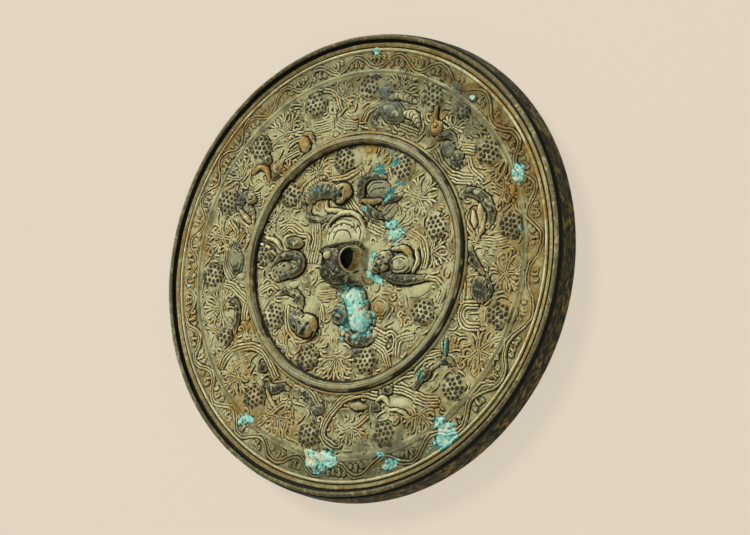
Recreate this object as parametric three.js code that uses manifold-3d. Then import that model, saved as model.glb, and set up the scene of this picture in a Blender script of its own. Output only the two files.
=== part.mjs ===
// Ancient cast-bronze mirror, lying on its plain polished face with the decorated back up.
// One casting: a heavy round plate with a flared edge and a beaded rim, a ridge ring between
// an inner and an outer field, a band of scrolling vine, and among grapes and vine leaves the
// low relief of beasts and birds. A crouching beast at the middle is bored for a cord.
// Millimetres, +Z up, the origin at the middle of the polished face.

import * as THREE from "three";
import { mergeVertices } from "three/addons/utils/BufferGeometryUtils.js";
import Module from "manifold-3d";

const wasm = await Module();
wasm.setup();

// ---- driving dimensions ---------------------------------------------------------------------

const FACE_RADIUS = 86.8; // the polished face, the widest circle of the mirror
const RIM_RADIUS = 85; // outside of the bead that crowns the edge
const RIM_HEIGHT = 10.4; // top of the bead
const FLOOR = 8.4; // level of the fields between the ridges
const RING_RADIUS = 46; // crest of the ring between the two fields
const RING_HEIGHT = 2.6;
const DIVIDER_RADIUS = 71.3; // thin line between the outer field and the vine band
const BORDER_RADIUS = 79.9; // thin line at the foot of the rim's slope
const LINE_HEIGHT = 0.6; // how far the two thin lines stand up
const SINK = 0.5; // how deep a relief's own foot goes into the plate
const ROUND_SEGMENTS = 56;

const SCROLL_RADIUS = 75.4; // middle of the vine scroll
const SCROLL_SWING = 2.5; // how far the scroll runs to each side
const SCROLL_STEPS = 6; // straight stretches in each wave of the scroll
// Where round the mirror, in degrees from +X, each wave of the scroll comes nearest the rim.
const SCROLL_CRESTS = [
  3, 17, 32, 47, 63, 78, 92, 105, 118, 132, 145, 158, 170, 182, 193, 206, 219, 233, 247, 261, 275,
  292, 308, 325, 342,
];

const KNOB = { x: -4.5, y: -0.8, length: 8.6, width: 7.8, height: 9.5 };
const BORE = { y: 0.2, radius: 3, height: 4.7 }; // the cord hole runs along X through the knob

// Grape clusters: place of the middle and radius.
const GRAPES = [
  [-30, 27.5, 4.8], [-6.8, 39.2, 4.6], [18.5, 34.5, 5.2], [34.3, 11.2, 5.2], [30, -19.5, 4.8],
  [7, -36.3, 5], [-19, -33.3, 4.3], [-34.8, -18, 4.6], [-41, 6.5, 3.4], [3.5, 65, 4.8],
  [31, 59, 5.1], [54.5, 36, 5], [64.8, 9, 4.8], [61.5, -22, 5], [43.5, -47.5, 5],
  [16.3, -63, 4.6], [-15.7, -62.3, 4.8], [-42.2, -48.5, 4.7], [-64.5, -0.5, 4.3],
  [-60, 27.3, 4.7], [-47, 47.5, 4.5], [-21.7, 61.3, 4.7], [-57.5, -25, 3.6], [43.5, 52.5, 3.2],
];

// Vine leaves: place of the middle, the way the leaf points in degrees, and length.
const LEAVES = [
  [-22, 36.5, 20, 5], [27, 23, 40, 6.5], [20, -28.5, -70, 6], [-6, -34.5, -90, 6.5],
  [-33, 16.5, 170, 5.5], [17, 65, 80, 6], [47, 44, 60, 6], [53, -34, -40, 6.5],
  [64, -9, 0, 6], [33, -55, -80, 6], [-29, -55, -100, 6], [-62, -13, 160, 6.5],
  [-59.5, 13.5, 170, 6.5], [-52, 38, 120, 6.5], [-34, 53, 110, 6.5], [-9, 64, 70, 5.5],
];

// Smooth masses of the creatures, as low domes: place, half length, half width, height, turn.
const MASSES = [
  [-6.5, 26, 4.3, 3.8, 3.6, 0], [-17, 26.5, 4.5, 3.6, 2.8, 30], // beast above on the left
  [9, 27.2, 6, 3.8, 1.6, -10], // worn beast above on the right
  [13, -1, 4.3, 4, 3.6, 0], [22, 0, 5, 3.6, 1.8, 20], // beast on the right
  [-4.5, -19, 3.9, 3.6, 3.4, 0], [3, -17, 6.6, 8.6, 1.8, 15], // beast below
  [-20.5, -21.5, 5.6, 5, 3.6, 0], [-26.5, 9, 3.4, 2.7, 2.4, -20], // beasts on the left
  [-5, 13, 9, 5.6, 2.2, 0], // haunches of the crouching beast in the middle
  [14, 55, 6.5, 4, 1.6, -35], [52, -5.5, 2.6, 3.6, 1.9, 20], [4, -52, 4.5, 2.4, 1.4, 10],
  [-38.5, -37.5, 2.4, 2, 1.3, 0], [-37, -42.5, 2, 1.8, 1.6, 0], [-27.5, 46, 3.4, 2.6, 1.6, -60],
];

// Backs, necks, limbs and tails of the creatures: the line each follows, half width, height.
const LIMBS = [
  [[[-20, 25], [-15, 27.8], [-9, 27]], 3, 3.1], [[[-19.5, 24], [-20.5, 18.5]], 1.5, 1.8],
  [[[-13, 23.5], [-12, 20.5], [-8, 20]], 1.2, 1.2],
  [[[2, 23.5], [2.5, 29.5], [6, 31.8], [13, 31]], 1.7, 3.1],
  [[[6, 20], [9, 16.5], [14, 13.5]], 1.4, 2], [[[12, 22], [17, 22.3], [20.5, 24.5]], 1.3, 1.6],
  [[[12, -4], [19, -7], [28, -7.6], [36, -8.5]], 2.3, 2.8],
  [[[-3, -22], [5, -27], [13, -27]], 2.8, 2.3],
  [[[-25, -19], [-23.5, -13], [-29, -9.5], [-34, -11]], 1.7, 2],
  [[[-26, 8.5], [-21.5, 4], [-24, -1], [-36, -3.5]], 2.1, 2.7],
  [[[-25, 5.5], [-33, 4.6], [-40, 1]], 1.2, 1.8],
  [[[34, 54], [33.2, 48], [33.5, 42.5]], 1.9, 1.5], [[[35, 42.5], [40, 38], [45, 32.5]], 2.4, 1.8],
  [[[44, 21], [51, 21.5], [56.5, 17], [57, 10.5]], 1.9, 1.9], [[[49, 14], [49, 5]], 2, 1],
  [[[48.5, 1.5], [52, -4], [55, -8]], 1.6, 1.8], [[[54, -8], [53, -17]], 3, 1.3],
  [[[41, -29], [40.5, -37], [44, -39]], 1.1, 1.3], [[[40, -38], [33.5, -42], [29.5, -48]], 1.5, 1.4],
  [[[14.5, -53], [20, -48.5], [29, -53]], 2, 1.1], [[[-36, -43.5], [-30, -45.5], [-22, -45]], 1.9, 1.6],
  [[[-19, -47], [-13, -53]], 2.2, 1.1], [[[-56, -11.5], [-52, -15], [-52, -24]], 1.8, 1.7],
  [[[-57, 9], [-57.5, 2], [-54.5, -2.5]], 2.4, 1.5], [[[-54, 25], [-50, 28.5], [-46, 26]], 2.3, 1.6],
  [[[-43, 44], [-42, 39], [-40.5, 35]], 1.3, 1.4],
];

// Ribbons of vine stem, tail feathers and mane: the line each follows and its half width.
const STEMS = [
  [[[-2.5, 23], [4, 15], [13, 10.5]], 1.2], [[[-18, 17], [-17, 9], [-18.5, 2]], 1.3],
  [[[-15, -11.5], [-7.5, -11]], 1.4], [[[25, 9], [30.5, 4], [30.5, -2]], 1],
  [[[36, -8], [39, -12], [36.5, -17.5]], 0.8], [[[-28, -15], [-27, -24], [-20, -28], [-14.5, -25]], 0.8],
  [[[-25, 22], [-24.5, 31], [-17, 35]], 0.8], [[[-58.5, -37], [-53, -30.5], [-45, -29], [-37, -31.5], [-32, -41]], 1.3],
  [[[-4, -67.5], [-9.5, -62], [-6, -54], [2, -48.5], [12, -49]], 1.2], [[[28, -40.5], [32.5, -36.5], [39, -35]], 1.2],
  [[[20, -44.7], [24, -42.6], [28.5, -42.2]], 0.8], [[[28, -50], [39, -52]], 1.3],
  [[[34.5, 36], [37.5, 30], [43, 27], [49.5, 26.5]], 1.3], [[[52, -18], [46.5, -19.5], [47.5, -25], [53, -27]], 1.3],
  [[[54, 4], [63.5, 4]], 1.5], [[[-20, 53], [-5, 52]], 1.3],
  [[[-60, 4], [-52, -7.5], [-49.5, -12]], 1.1],
];

const STEM_HEIGHT = 0.6;

// ---- solids ---------------------------------------------------------------------------------

/** A closed three.js geometry as a manifold-3d solid. */
function solidOf(geometry) {
  geometry.deleteAttribute("normal");
  geometry.deleteAttribute("uv");
  const merged = mergeVertices(geometry, 1e-4);
  const vertProperties = merged.attributes.position.array;
  return new wasm.Manifold(
    new wasm.Mesh({ numProp: 3, vertProperties, triVerts: new Uint32Array(merged.index.array) }),
  );
}

/** A geometry from a list of [x, y, z] corners and a list of corner-number triangles. */
function meshOf(corners, triangles) {
  const geometry = new THREE.BufferGeometry();
  geometry.setAttribute("position", new THREE.Float32BufferAttribute(corners.flat(), 3));
  geometry.setIndex(triangles.flat());
  return geometry;
}

/** A point at a radius and an angle in degrees round the mirror's middle. */
function polar(radius, degrees) {
  const angle = THREE.MathUtils.degToRad(degrees);
  return [radius * Math.cos(angle), radius * Math.sin(angle)];
}

/** Points evenly along the smooth line through a few [x, y] points. */
function smoothLine(points, steps) {
  const curve = new THREE.CatmullRomCurve3(points.map(([x, y]) => new THREE.Vector3(x, y, 0)));
  return curve.getPoints(steps).map((p) => [p.x, p.y]);
}

/**
 * A mass that follows a line on the floor. Its section is a low arch through the corners in
 * profile, each [share of the half width, share of the height]; swell gives the share of the
 * full section at each place from 0 to 1 along the line.
 */
function lofted(line, halfWidth, height, profile, swell, closed = false) {
  const corners = [];
  const count = line.length;
  line.forEach(([x, y], i) => {
    const before = line[closed ? (i + count - 1) % count : Math.max(i - 1, 0)];
    const after = line[closed ? (i + 1) % count : Math.min(i + 1, count - 1)];
    const along = new THREE.Vector2(after[0] - before[0], after[1] - before[1]).normalize();
    const size = closed ? 1 : swell(i / (count - 1));
    for (const [across, up] of profile) {
      const side = across * halfWidth * size;
      const z = up > 0 ? FLOOR + up * height * size : FLOOR - SINK;
      corners.push([x - along.y * side, y + along.x * side, z]);
    }
  });
  const width = profile.length;
  const triangles = [];
  const stretches = closed ? count : count - 1;
  for (let i = 0; i < stretches; i++) {
    const here = i * width;
    const next = ((i + 1) % count) * width;
    for (let k = 0; k < width; k++) {
      const j = (k + 1) % width;
      triangles.push([here + k, here + j, next + j], [here + k, next + j, next + k]);
    }
  }
  if (!closed) {
    const last = (count - 1) * width;
    for (let k = 1; k < width - 1; k++) {
      triangles.push([0, k + 1, k], [last, last + k, last + k + 1]);
    }
  }
  return solidOf(meshOf(corners, triangles));
}

const ARCH = [[1.15, 0], [0.7, 0.75], [0, 1], [-0.7, 0.75], [-1.15, 0]];
const ROOF = [[1.7, 0], [0, 1], [-1.7, 0]];

/** A rounded limb, neck or back, thickest in its middle. */
const limb = (points, halfWidth, height) =>
  lofted(smoothLine(points, 3), halfWidth, height, ARCH, (t) => 0.45 + 0.65 * Math.sin(Math.PI * t));

/** A sharp low ridge, such as a stem, drawn out thin at both ends. */
const stem = (points, halfWidth) =>
  lofted(smoothLine(points, 2 * points.length - 2), halfWidth, STEM_HEIGHT, ROOF,
    (t) => 0.5 + 0.5 * Math.sin(Math.PI * t));

/**
 * A mound that stands on the floor, from its top down to a foot sunk in the plate. Each ring,
 * from the top outwards, is a function of the corner's number that gives its distance from the
 * mound's middle and its height.
 */
function mound(x, y, turn, top, rings, sides) {
  const corners = [[x, y, FLOOR + top], [x, y, FLOOR - SINK]];
  for (const ring of rings) {
    for (let i = 0; i < sides; i++) {
      const { radius, height } = ring(i);
      const [dx, dy] = polar(radius, turn + (360 * i) / sides);
      corners.push([x + dx, y + dy, FLOOR + height]);
    }
  }
  const at = (ring, i) => 2 + ring * sides + (i % sides);
  const last = rings.length - 1;
  const triangles = [];
  for (let i = 0; i < sides; i++) {
    triangles.push([0, at(0, i), at(0, i + 1)], [1, at(last, i + 1), at(last, i)]);
    for (let ring = 0; ring < last; ring++) {
      const [a, b] = [at(ring, i), at(ring, i + 1)];
      const [c, d] = [at(ring + 1, i), at(ring + 1, i + 1)];
      triangles.push([a, c, d], [a, d, b]);
    }
  }
  return solidOf(meshOf(corners, triangles));
}

/** A smooth mass, the upper half of an ellipsoid. */
function dome(x, y, halfLength, halfWidth, height, turn, sides = 8, steps = 3) {
  const rings = [];
  for (let k = 1; k <= steps; k++) {
    const slope = (Math.PI / 2) * (k / steps);
    const up = k === steps ? -SINK : height * Math.cos(slope);
    rings.push((i) => {
      const [c, s] = polar(1, (360 * i) / sides);
      const radius = Math.sin(slope) / Math.hypot(c / halfLength, s / halfWidth);
      return { radius, height: up };
    });
  }
  return mound(x, y, turn, height, rings, sides);
}

/** A bunch of grapes: six berries that crowd round the bunch's own high middle. */
function grapes(x, y, radius) {
  const berry = (i) => (i % 2 ? -1 : 1);
  return mound(x, y, 0, 2.1, [
    (i) => ({ radius: (0.68 + 0.06 * berry(i)) * radius, height: 1.2 + 0.45 * berry(i) }),
    (i) => ({ radius: (1.04 + 0.05 * berry(i)) * radius, height: -SINK }),
  ], 12);
}

/** A vine leaf: a star of five sharp lobes, each with a ridge that runs out to its tip. */
function leaf(x, y, turn, length) {
  const reach = (i) => (i % 2 ? 0.3 : 0.85 + 0.2 * Math.cos((2 * Math.PI * i) / 10));
  return mound(x, y, turn, 1, [(i) => ({ radius: length * reach(i), height: -SINK })], 10);
}

/** A small curled leaf or bud: a sharp wedge, highest near its root, that tapers to its tip. */
function bud(x, y, degrees, length, halfWidth, height) {
  const [alongX, alongY] = polar(1, degrees);
  const place = (along, across, up) => [
    x + along * alongX - across * alongY,
    y + along * alongY + across * alongX,
    FLOOR + up,
  ];
  const corners = [
    place(0, -halfWidth, -SINK), place(length, 0, -SINK), place(0, halfWidth, -SINK),
    place(length * 0.3, 0, height),
  ];
  return solidOf(meshOf(corners, [[0, 1, 3], [1, 2, 3], [2, 0, 3], [0, 2, 1]]));
}

/** The plate with its edge, rim, ring and thin lines, turned about +Z. */
function plate() {
  const line = (radius) => [
    [radius + 0.6, FLOOR], [radius, FLOOR + LINE_HEIGHT], [radius - 0.6, FLOOR],
  ];
  const profile = [
    [0, 0], [FACE_RADIUS - 0.5, 0], [FACE_RADIUS, 0.6], [FACE_RADIUS - 0.6, 5],
    [RIM_RADIUS + 0.1, 8.6], [RIM_RADIUS - 0.5, 9], // the edge leans in to a groove
    [RIM_RADIUS, 9.8], [RIM_RADIUS - 0.8, RIM_HEIGHT], [RIM_RADIUS - 1.7, 10.1],
    [RIM_RADIUS - 2.2, 8.9], // the bead and its inner step
    ...line(BORDER_RADIUS), ...line(DIVIDER_RADIUS),
    [RING_RADIUS + 1.9, FLOOR], [RING_RADIUS + 0.8, FLOOR + RING_HEIGHT],
    [RING_RADIUS - 0.8, FLOOR + RING_HEIGHT], [RING_RADIUS - 1.8, FLOOR], [0, FLOOR],
  ];
  const points = profile.map(([r, z]) => new THREE.Vector2(r, z));
  const geometry = new THREE.LatheGeometry(points, ROUND_SEGMENTS);
  geometry.rotateX(Math.PI / 2);
  return solidOf(geometry);
}

/** The vine that winds round the band, with a small curled leaf in every bay of it. */
function vineBand() {
  const winding = [];
  const leaves = [];
  SCROLL_CRESTS.forEach((crest, i) => {
    const next = SCROLL_CRESTS[(i + 1) % SCROLL_CRESTS.length] + (crest > 340 ? 360 : 0);
    for (let k = 0; k < SCROLL_STEPS; k++) {
      const share = k / SCROLL_STEPS;
      const radius = SCROLL_RADIUS + SCROLL_SWING * Math.cos(2 * Math.PI * share);
      winding.push(polar(radius, crest + (next - crest) * share));
    }
    const bays = [[crest, -1], [(crest + next) / 2, 1]];
    for (const [degrees, side] of bays) {
      const root = polar(SCROLL_RADIUS - 0.6 * side, degrees - 1.2);
      leaves.push(bud(...root, degrees + 90 - 60 * side, 2.8, 0.8, 0.7));
    }
  });
  return [lofted(winding, 0.5, 0.8, ROOF, () => 1, true), ...leaves];
}

/** The crouching beast that the cord goes through: a high back, head, ears and paws. */
function knob() {
  const { x, y, length, width, height } = KNOB;
  const beast = wasm.Manifold.union([
    dome(x, y, length, width, height, 0, 16, 6),
    dome(x - 5.6, y + 3.6, 3.6, 3, 5.6, 30), // head
    dome(x - 6.4, y - 5, 3, 2, 1.9, -30), // paws
    dome(x + 5.5, y - 6, 3.4, 2.2, 1.7, 30),
    dome(x + 8, y - 1, 4.2, 4, 1.9, 0), // tail end
  ]);
  const geometry = new THREE.CylinderGeometry(BORE.radius, BORE.radius, 40, 12);
  geometry.rotateZ(Math.PI / 2);
  geometry.translate(x, BORE.y, FLOOR + BORE.height);
  return beast.subtract(solidOf(geometry));
}

// ---- the mirror -----------------------------------------------------------------------------

const relief = [
  ...vineBand(),
  ...GRAPES.map((g) => grapes(...g)),
  ...LEAVES.map((l) => leaf(...l)),
  ...MASSES.map((m) => dome(...m)),
  ...LIMBS.map((l) => limb(...l)),
  ...STEMS.map((s) => stem(...s)),
  knob(),
];
const casting = plate().add(wasm.Manifold.union(relief)).getMesh();

const bronze = new THREE.MeshStandardMaterial({
  color: new THREE.Color(0.42, 0.38, 0.26),
  roughness: 0.62,
  metalness: 0.55,
});

const geometry = new THREE.BufferGeometry();
geometry.setAttribute("position", new THREE.BufferAttribute(casting.vertProperties, 3));
geometry.setIndex(new THREE.BufferAttribute(casting.triVerts, 1));
const mirror = new THREE.Mesh(geometry, bronze);
mirror.name = "bronze_mirror";

const group = new THREE.Group();
group.add(mirror);

export default group;
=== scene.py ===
"""The looks of an ancient cast-bronze mirror that lies on its polished face, decorated back up.

The back is one relief: a crouching beast bored for a cord, a field of beasts among grapes and
vine, a ridge ring, a second field of birds and small animals, a band of scrolling vine and a
beaded rim. Lengths in the classes are millimetres in the mirror's own plan, with X to the
right and Y to the top of the design; a mesh is scaled to metres when it is made.
"""

from __future__ import annotations

import logging
import math
from dataclasses import dataclass, field
from enum import Enum
from typing import Sequence

import bpy
import numpy as np
from mathutils import Matrix, Vector

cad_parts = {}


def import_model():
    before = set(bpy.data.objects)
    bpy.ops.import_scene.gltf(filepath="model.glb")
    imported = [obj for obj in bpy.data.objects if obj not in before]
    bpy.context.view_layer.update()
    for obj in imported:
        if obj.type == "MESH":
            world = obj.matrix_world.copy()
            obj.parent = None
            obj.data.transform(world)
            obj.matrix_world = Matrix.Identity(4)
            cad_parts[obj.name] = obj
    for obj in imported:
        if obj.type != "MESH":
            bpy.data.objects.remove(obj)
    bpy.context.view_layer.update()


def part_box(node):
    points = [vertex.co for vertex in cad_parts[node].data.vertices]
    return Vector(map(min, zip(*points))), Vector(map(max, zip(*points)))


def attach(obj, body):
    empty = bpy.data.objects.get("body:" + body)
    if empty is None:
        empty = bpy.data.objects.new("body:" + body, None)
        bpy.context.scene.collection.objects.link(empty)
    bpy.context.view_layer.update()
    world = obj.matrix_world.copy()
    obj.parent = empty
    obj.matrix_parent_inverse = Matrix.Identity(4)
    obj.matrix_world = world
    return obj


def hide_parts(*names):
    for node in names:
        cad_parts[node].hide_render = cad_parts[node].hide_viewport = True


log = logging.getLogger("bronze_mirror")

MM = 0.001
NODE = "bronze_mirror"
FLOOR = 8.4  # height of the fields over the table
CURVE_PARTS = 12  # points on each stretch of a smooth line, before it is spaced evenly
Point = tuple[float, float]
Place = tuple[float, float, float]
Line = Sequence[Point]
Array = np.ndarray


class Tone(Enum):
    """What shows on a stretch of the casting."""

    PATINA = "cream-olive patina"
    METAL = "dark metal that handling has worn bare"
    EARTH = "ochre earth in the hollows"
    PALE = "smooth pale patina"


# Lines and noise.


def smooth_line(points: Line, spacing: float) -> Array:
    """Evenly spaced points along the smooth curve through a few points.

    Args:
        points: The points that the curve passes through.
        spacing: The distance wanted between neighbours, in millimetres.

    Returns:
        An array of x and y, one row for each point.
    """
    through = np.array(points, float)
    padded = np.vstack([2 * through[0] - through[1], through, 2 * through[-1] - through[-2]])
    share = np.linspace(0, 1, CURVE_PARTS, endpoint=False)[:, None]
    stretches = []
    for a, b, c, d in zip(padded, padded[1:], padded[2:], padded[3:]):
        bend = (2 * a - 5 * b + 4 * c - d) * share**2 + (3 * b - a - 3 * c + d) * share**3
        stretches.append(0.5 * (2 * b + (c - a) * share + bend))
    dense = np.vstack([*stretches, through[-1:]])
    along = np.concatenate([[0], np.cumsum(np.hypot(*np.diff(dense, axis=0).T))])
    count = max(2, int(along[-1] / spacing) + 1)
    wanted = np.linspace(0, along[-1], count)
    return np.column_stack([np.interp(wanted, along, dense[:, k]) for k in (0, 1)])


def side_line(points: Line, shift: float) -> list[Point]:
    """The line that runs beside another.

    Args:
        points: The points that the other passes through.
        shift: How far to its left the new line runs.

    Returns:
        The points of the new line.
    """
    line = smooth_line(points, 1.0)
    along = np.gradient(line, axis=0)
    along /= np.hypot(along[:, :1], along[:, 1:]) + 1e-9
    left = np.column_stack([-along[:, 1], along[:, 0]])
    return [tuple(p) for p in line + shift * left]


def turned(x: float, y: float, degrees: float, along: float, across: float = 0.0) -> Point:
    """The point at a distance along and across a direction.

    Args:
        x, y: The place that the distances start from.
        degrees: The direction.
        along: The distance in the direction.
        across: The distance to its left.

    Returns:
        The point's x and y.
    """
    angle = math.radians(degrees)
    cos, sin = math.cos(angle), math.sin(angle)
    return (x + along * cos - across * sin, y + along * sin + across * cos)


def turned_axes(xs: Array, ys: Array, x: float, y: float, degrees: float) -> tuple[Array, Array]:
    """Places as they lie along and across a direction from a middle.

    Args:
        xs: The x of each place.
        ys: The y of each place.
        x, y: The middle.
        degrees: The direction.

    Returns:
        The distance of each place along the direction, and across it.
    """
    cos, sin = math.cos(math.radians(degrees)), math.sin(math.radians(degrees))
    return (xs - x) * cos + (ys - y) * sin, (ys - y) * cos - (xs - x) * sin


def smooth_step(share: Array) -> Array:
    """A share from 0 to 1 with its ends eased."""
    return share * share * (3 - 2 * share)


def spread_noise(shape: tuple[int, int], cell: float, seed: int) -> Array:
    """Smooth noise from -1 to 1 over a grid.

    Args:
        shape: Rows and columns of the grid.
        cell: How many grid steps one bump of the noise is wide.
        seed: The seed of the random values.

    Returns:
        The noise, one value for each place of the grid.
    """
    rng = np.random.default_rng(seed)
    rows, columns = (int(n / cell) + 3 for n in shape)
    knots = rng.uniform(-1, 1, (rows, columns))

    def eased(count: int) -> tuple[Array, Array]:
        """The knot before each grid line, and how far the line lies towards the next.

        Args:
            count: How many grid lines there are.

        Returns:
            The knots' numbers and the shares.
        """
        place = np.arange(count) / cell
        whole = place.astype(int)
        return whole, smooth_step(place - whole)

    iy, ty = eased(shape[0])
    ix, tx = eased(shape[1])
    lower = knots[iy] * (1 - ty[:, None]) + knots[iy + 1] * ty[:, None]
    return (lower[:, ix] * (1 - tx) + lower[:, ix + 1] * tx).astype(np.float32)


def layered_noise(shape: tuple[int, int], cell: float, octaves: int, seed: int) -> Array:
    """Noise with finer and weaker noise laid over it, each octave half the size of the last.

    Args:
        shape: Rows and columns of the grid.
        cell: How many grid steps one bump of the coarsest octave is wide.
        octaves: How many octaves there are.
        seed: The seed of the random values.

    Returns:
        The noise, one value for each place of the grid.
    """
    total = np.zeros(shape, np.float32)
    for k in range(octaves):
        total += spread_noise(shape, max(cell / 2**k, 1.5), seed + 31 * k) * 0.5**k
    return total / (2 - 0.5 ** (octaves - 1))


# The relief as a height field.


DRAWN = ("low", "tall", "fine", "metal", "earth", "pale", "dark")  # the layers that the motifs work
AGED = ("body", "crest", "earthy", "greyed", "crust", "shade")  # those that ageing fills in


@dataclass
class Relief:
    """The decorated back as layers over a square grid, worked like a wax model.

    Low strokes lie on the ground, tall forms stand over them, and fine work is cut into or laid
    on whatever is there. Beside the heights, layers say where metal, earth or crust shows.
    """

    reach: float = 84.0
    step: float = 0.1
    count: int = field(init=False)
    axis: Array = field(init=False)
    low: Array = field(init=False)
    tall: Array = field(init=False)
    fine: Array = field(init=False)
    metal: Array = field(init=False)
    earth: Array = field(init=False)
    pale: Array = field(init=False)
    dark: Array = field(init=False)
    body: Array = field(init=False)  # the height over the floor when all is done
    crest: Array = field(init=False)  # how far it stands over what is close to it
    earthy: Array = field(init=False)
    greyed: Array = field(init=False)
    crust: Array = field(init=False)
    shade: Array = field(init=False)

    def __post_init__(self) -> None:
        """Lays out the grid with every layer empty."""
        self.count = int(round(2 * self.reach / self.step)) + 1
        self.axis = np.linspace(-self.reach, self.reach, self.count)
        for name in (*DRAWN, *AGED):
            setattr(self, name, np.zeros((self.count, self.count), np.float32))

    def radius(self) -> Array:
        """Distance of each place of the grid from the mirror's middle."""
        return np.hypot(self.axis[None, :], self.axis[:, None])

    def window(self, low: Point, high: Point) -> tuple[tuple[slice, slice], Array, Array]:
        """The part of the grid that covers a box.

        Args:
            low: The box's lowest x and y.
            high: The box's highest x and y.

        Returns:
            The slices of a layer, and the x and y of the places in them.
        """
        ix, iy = (max(int((v + self.reach) / self.step), 0) for v in low)
        jx, jy = (min(int((v + self.reach) / self.step) + 2, self.count) for v in high)
        part = (slice(iy, max(jy, iy)), slice(ix, max(jx, ix)))
        return part, self.axis[part[1]][None, :], self.axis[part[0]][:, None]

    def trace(self, line: Array, halves: Array, shares: Array, power: float) -> tuple[tuple, Array]:
        """Works out a rounded section swept along a line.

        Args:
            line: The points of the line.
            halves: Half the width at each point.
            shares: The share of the full height at each point.
            power: How blunt the section is: 0.5 is a half round, 1 a parabola.

        Returns:
            The slices of the part of the grid that it covers, and the share of the full height
            at each place of it.
        """
        reach = halves.max() + self.step
        low, high = line.min(0) - reach, line.max(0) + reach
        part, xs, ys = self.window(tuple(low), tuple(high))
        swept = np.zeros((ys.shape[0], xs.shape[1]), np.float32)
        y0, x0 = part[0].start, part[1].start
        for k in range(len(line) - 1):
            a, b = line[k], line[k + 1]
            wide = max(halves[k], halves[k + 1]) + self.step
            inner, px, py = self.window(tuple(np.minimum(a, b) - wide), tuple(np.maximum(a, b) + wide))
            if px.size == 0 or py.size == 0:
                continue
            ab = b - a
            share = ((px - a[0]) * ab[0] + (py - a[1]) * ab[1]) / (ab @ ab + 1e-12)
            share = np.clip(share, 0, 1)
            gap = (px - a[0] - share * ab[0]) ** 2 + (py - a[1] - share * ab[1]) ** 2
            half = halves[k] + (halves[k + 1] - halves[k]) * share
            body = np.clip(1 - gap / (half * half), 0, 1) ** power
            body *= shares[k] + (shares[k + 1] - shares[k]) * share
            rows = slice(inner[0].start - y0, inner[0].stop - y0)
            columns = slice(inner[1].start - x0, inner[1].stop - x0)
            np.maximum(swept[rows, columns], body, out=swept[rows, columns])
        return part, swept

    def _tint(self, part: tuple, share: Array, tone: Tone) -> None:
        """Marks a form's tone where it covers the grid.

        Args:
            part: The slices of the part of the grid that the form covers.
            share: The share of its full height at each place of it.
            tone: What shows on it.
        """
        cover = np.clip((share - 0.42) * 2.8, 0, 1)
        if tone is Tone.METAL:
            self.metal[part] = np.maximum(self.metal[part], cover)
        elif tone is Tone.EARTH:
            self.earth[part] = np.maximum(self.earth[part], cover)
        elif tone is Tone.PALE:
            self.pale[part] = np.maximum(self.pale[part], 0.85 * cover)

    def stroke(self, points: Line, half: float = 0.5, rise: float = 0.5, tip: float = 0.6) -> None:
        """Lays a low rounded ridge on the ground, drawn thinner at its ends.

        Args:
            points: The line that it follows.
            half: Half its width.
            rise: Its height.
            tip: The share of its width and height that is left at its ends.
        """
        line = smooth_line(points, max(0.3, half * 0.6))
        ease = np.sin(np.pi * np.linspace(0.08, 0.92, len(line))) ** 0.5
        size = tip + (1 - tip) * ease
        part, swept = self.trace(line, half * size, size, 0.65)
        np.maximum(self.low[part], rise * swept, out=self.low[part])

    def limb(self, points: Line, half: float, rise: float, tone: Tone = Tone.PATINA,
             ends: tuple[float, float] = (0.5, 0.5)) -> None:
        """Raises a rounded body, neck, leg or tail along a line.

        Args:
            points: The line that it follows.
            half: Half its width at its thickest.
            rise: Its height there.
            tone: What shows on it.
            ends: The share of the thickness at its first and its last end.
        """
        line = smooth_line(points, max(0.3, half * 0.3))
        place = np.linspace(0, 1, len(line))
        swell = np.sin(np.pi * place) ** 0.7
        size = swell + (1 - swell) * (ends[0] * (1 - place) + ends[1] * place)
        part, swept = self.trace(line, half * size, size, 0.55)
        rise = rise * (0.72 if tone is Tone.METAL else 1)
        self.tall[part] = np.maximum(self.tall[part], rise * swept)
        self._tint(part, swept, tone)

    def dome(self, x: float, y: float, half_x: float, half_y: float, rise: float,
             tone: Tone = Tone.PATINA, turn: float = 0.0, power: float = 0.55) -> None:
        """Raises a smooth rounded mass.

        Args:
            x, y: Its middle.
            half_x: Half its length, before it is turned.
            half_y: Half its width.
            rise: Its height.
            tone: What shows on it.
            turn: How far it is turned, in degrees.
            power: How blunt its section is.
        """
        far = max(half_x, half_y)
        part, xs, ys = self.window((x - far, y - far), (x + far, y + far))
        along, across = turned_axes(xs, ys, x, y, turn)
        share = np.clip(1 - (along / half_x) ** 2 - (across / half_y) ** 2, 0, 1).astype(np.float32) ** power
        self.tall[part] = np.maximum(self.tall[part], rise * share)
        self._tint(part, share, tone)

    def detail(self, points: Line, half: float = 0.3, rise: float = 0.3) -> None:
        """Lays a fine line on a form, or cuts one into it.

        Args:
            points: The line that it follows.
            half: Half its width.
            rise: Its height, or less than nothing where it is cut in.
        """
        line = smooth_line(points, max(0.3, half * 0.6))
        ends = np.minimum(1, 0.5 + np.minimum(np.arange(len(line)), np.arange(len(line))[::-1]))
        part, swept = self.trace(line, half * ends, ends, 0.9)
        layer = self.fine[part]
        if rise > 0:
            self.fine[part] = np.where(swept > 0, np.maximum(layer, rise * swept), layer)
            return
        self.fine[part] = np.where(swept > 0, np.minimum(layer, rise * swept), layer)
        self.dark[part] = np.maximum(self.dark[part], 0.85 * swept)

    def pit(self, x: float, y: float, radius: float, depth: float) -> None:
        """Sinks a small round hollow.

        Args:
            x, y: Its middle.
            radius: Its radius at the brim.
            depth: Its depth.
        """
        part, xs, ys = self.window((x - radius, y - radius), (x + radius, y + radius))
        share = np.clip(1 - ((xs - x) ** 2 + (ys - y) ** 2) / radius**2, 0, 1)
        self.fine[part] = np.minimum(self.fine[part], -depth * share)
        self.dark[part] = np.maximum(self.dark[part], np.clip(2 * share, 0, 1))

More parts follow.
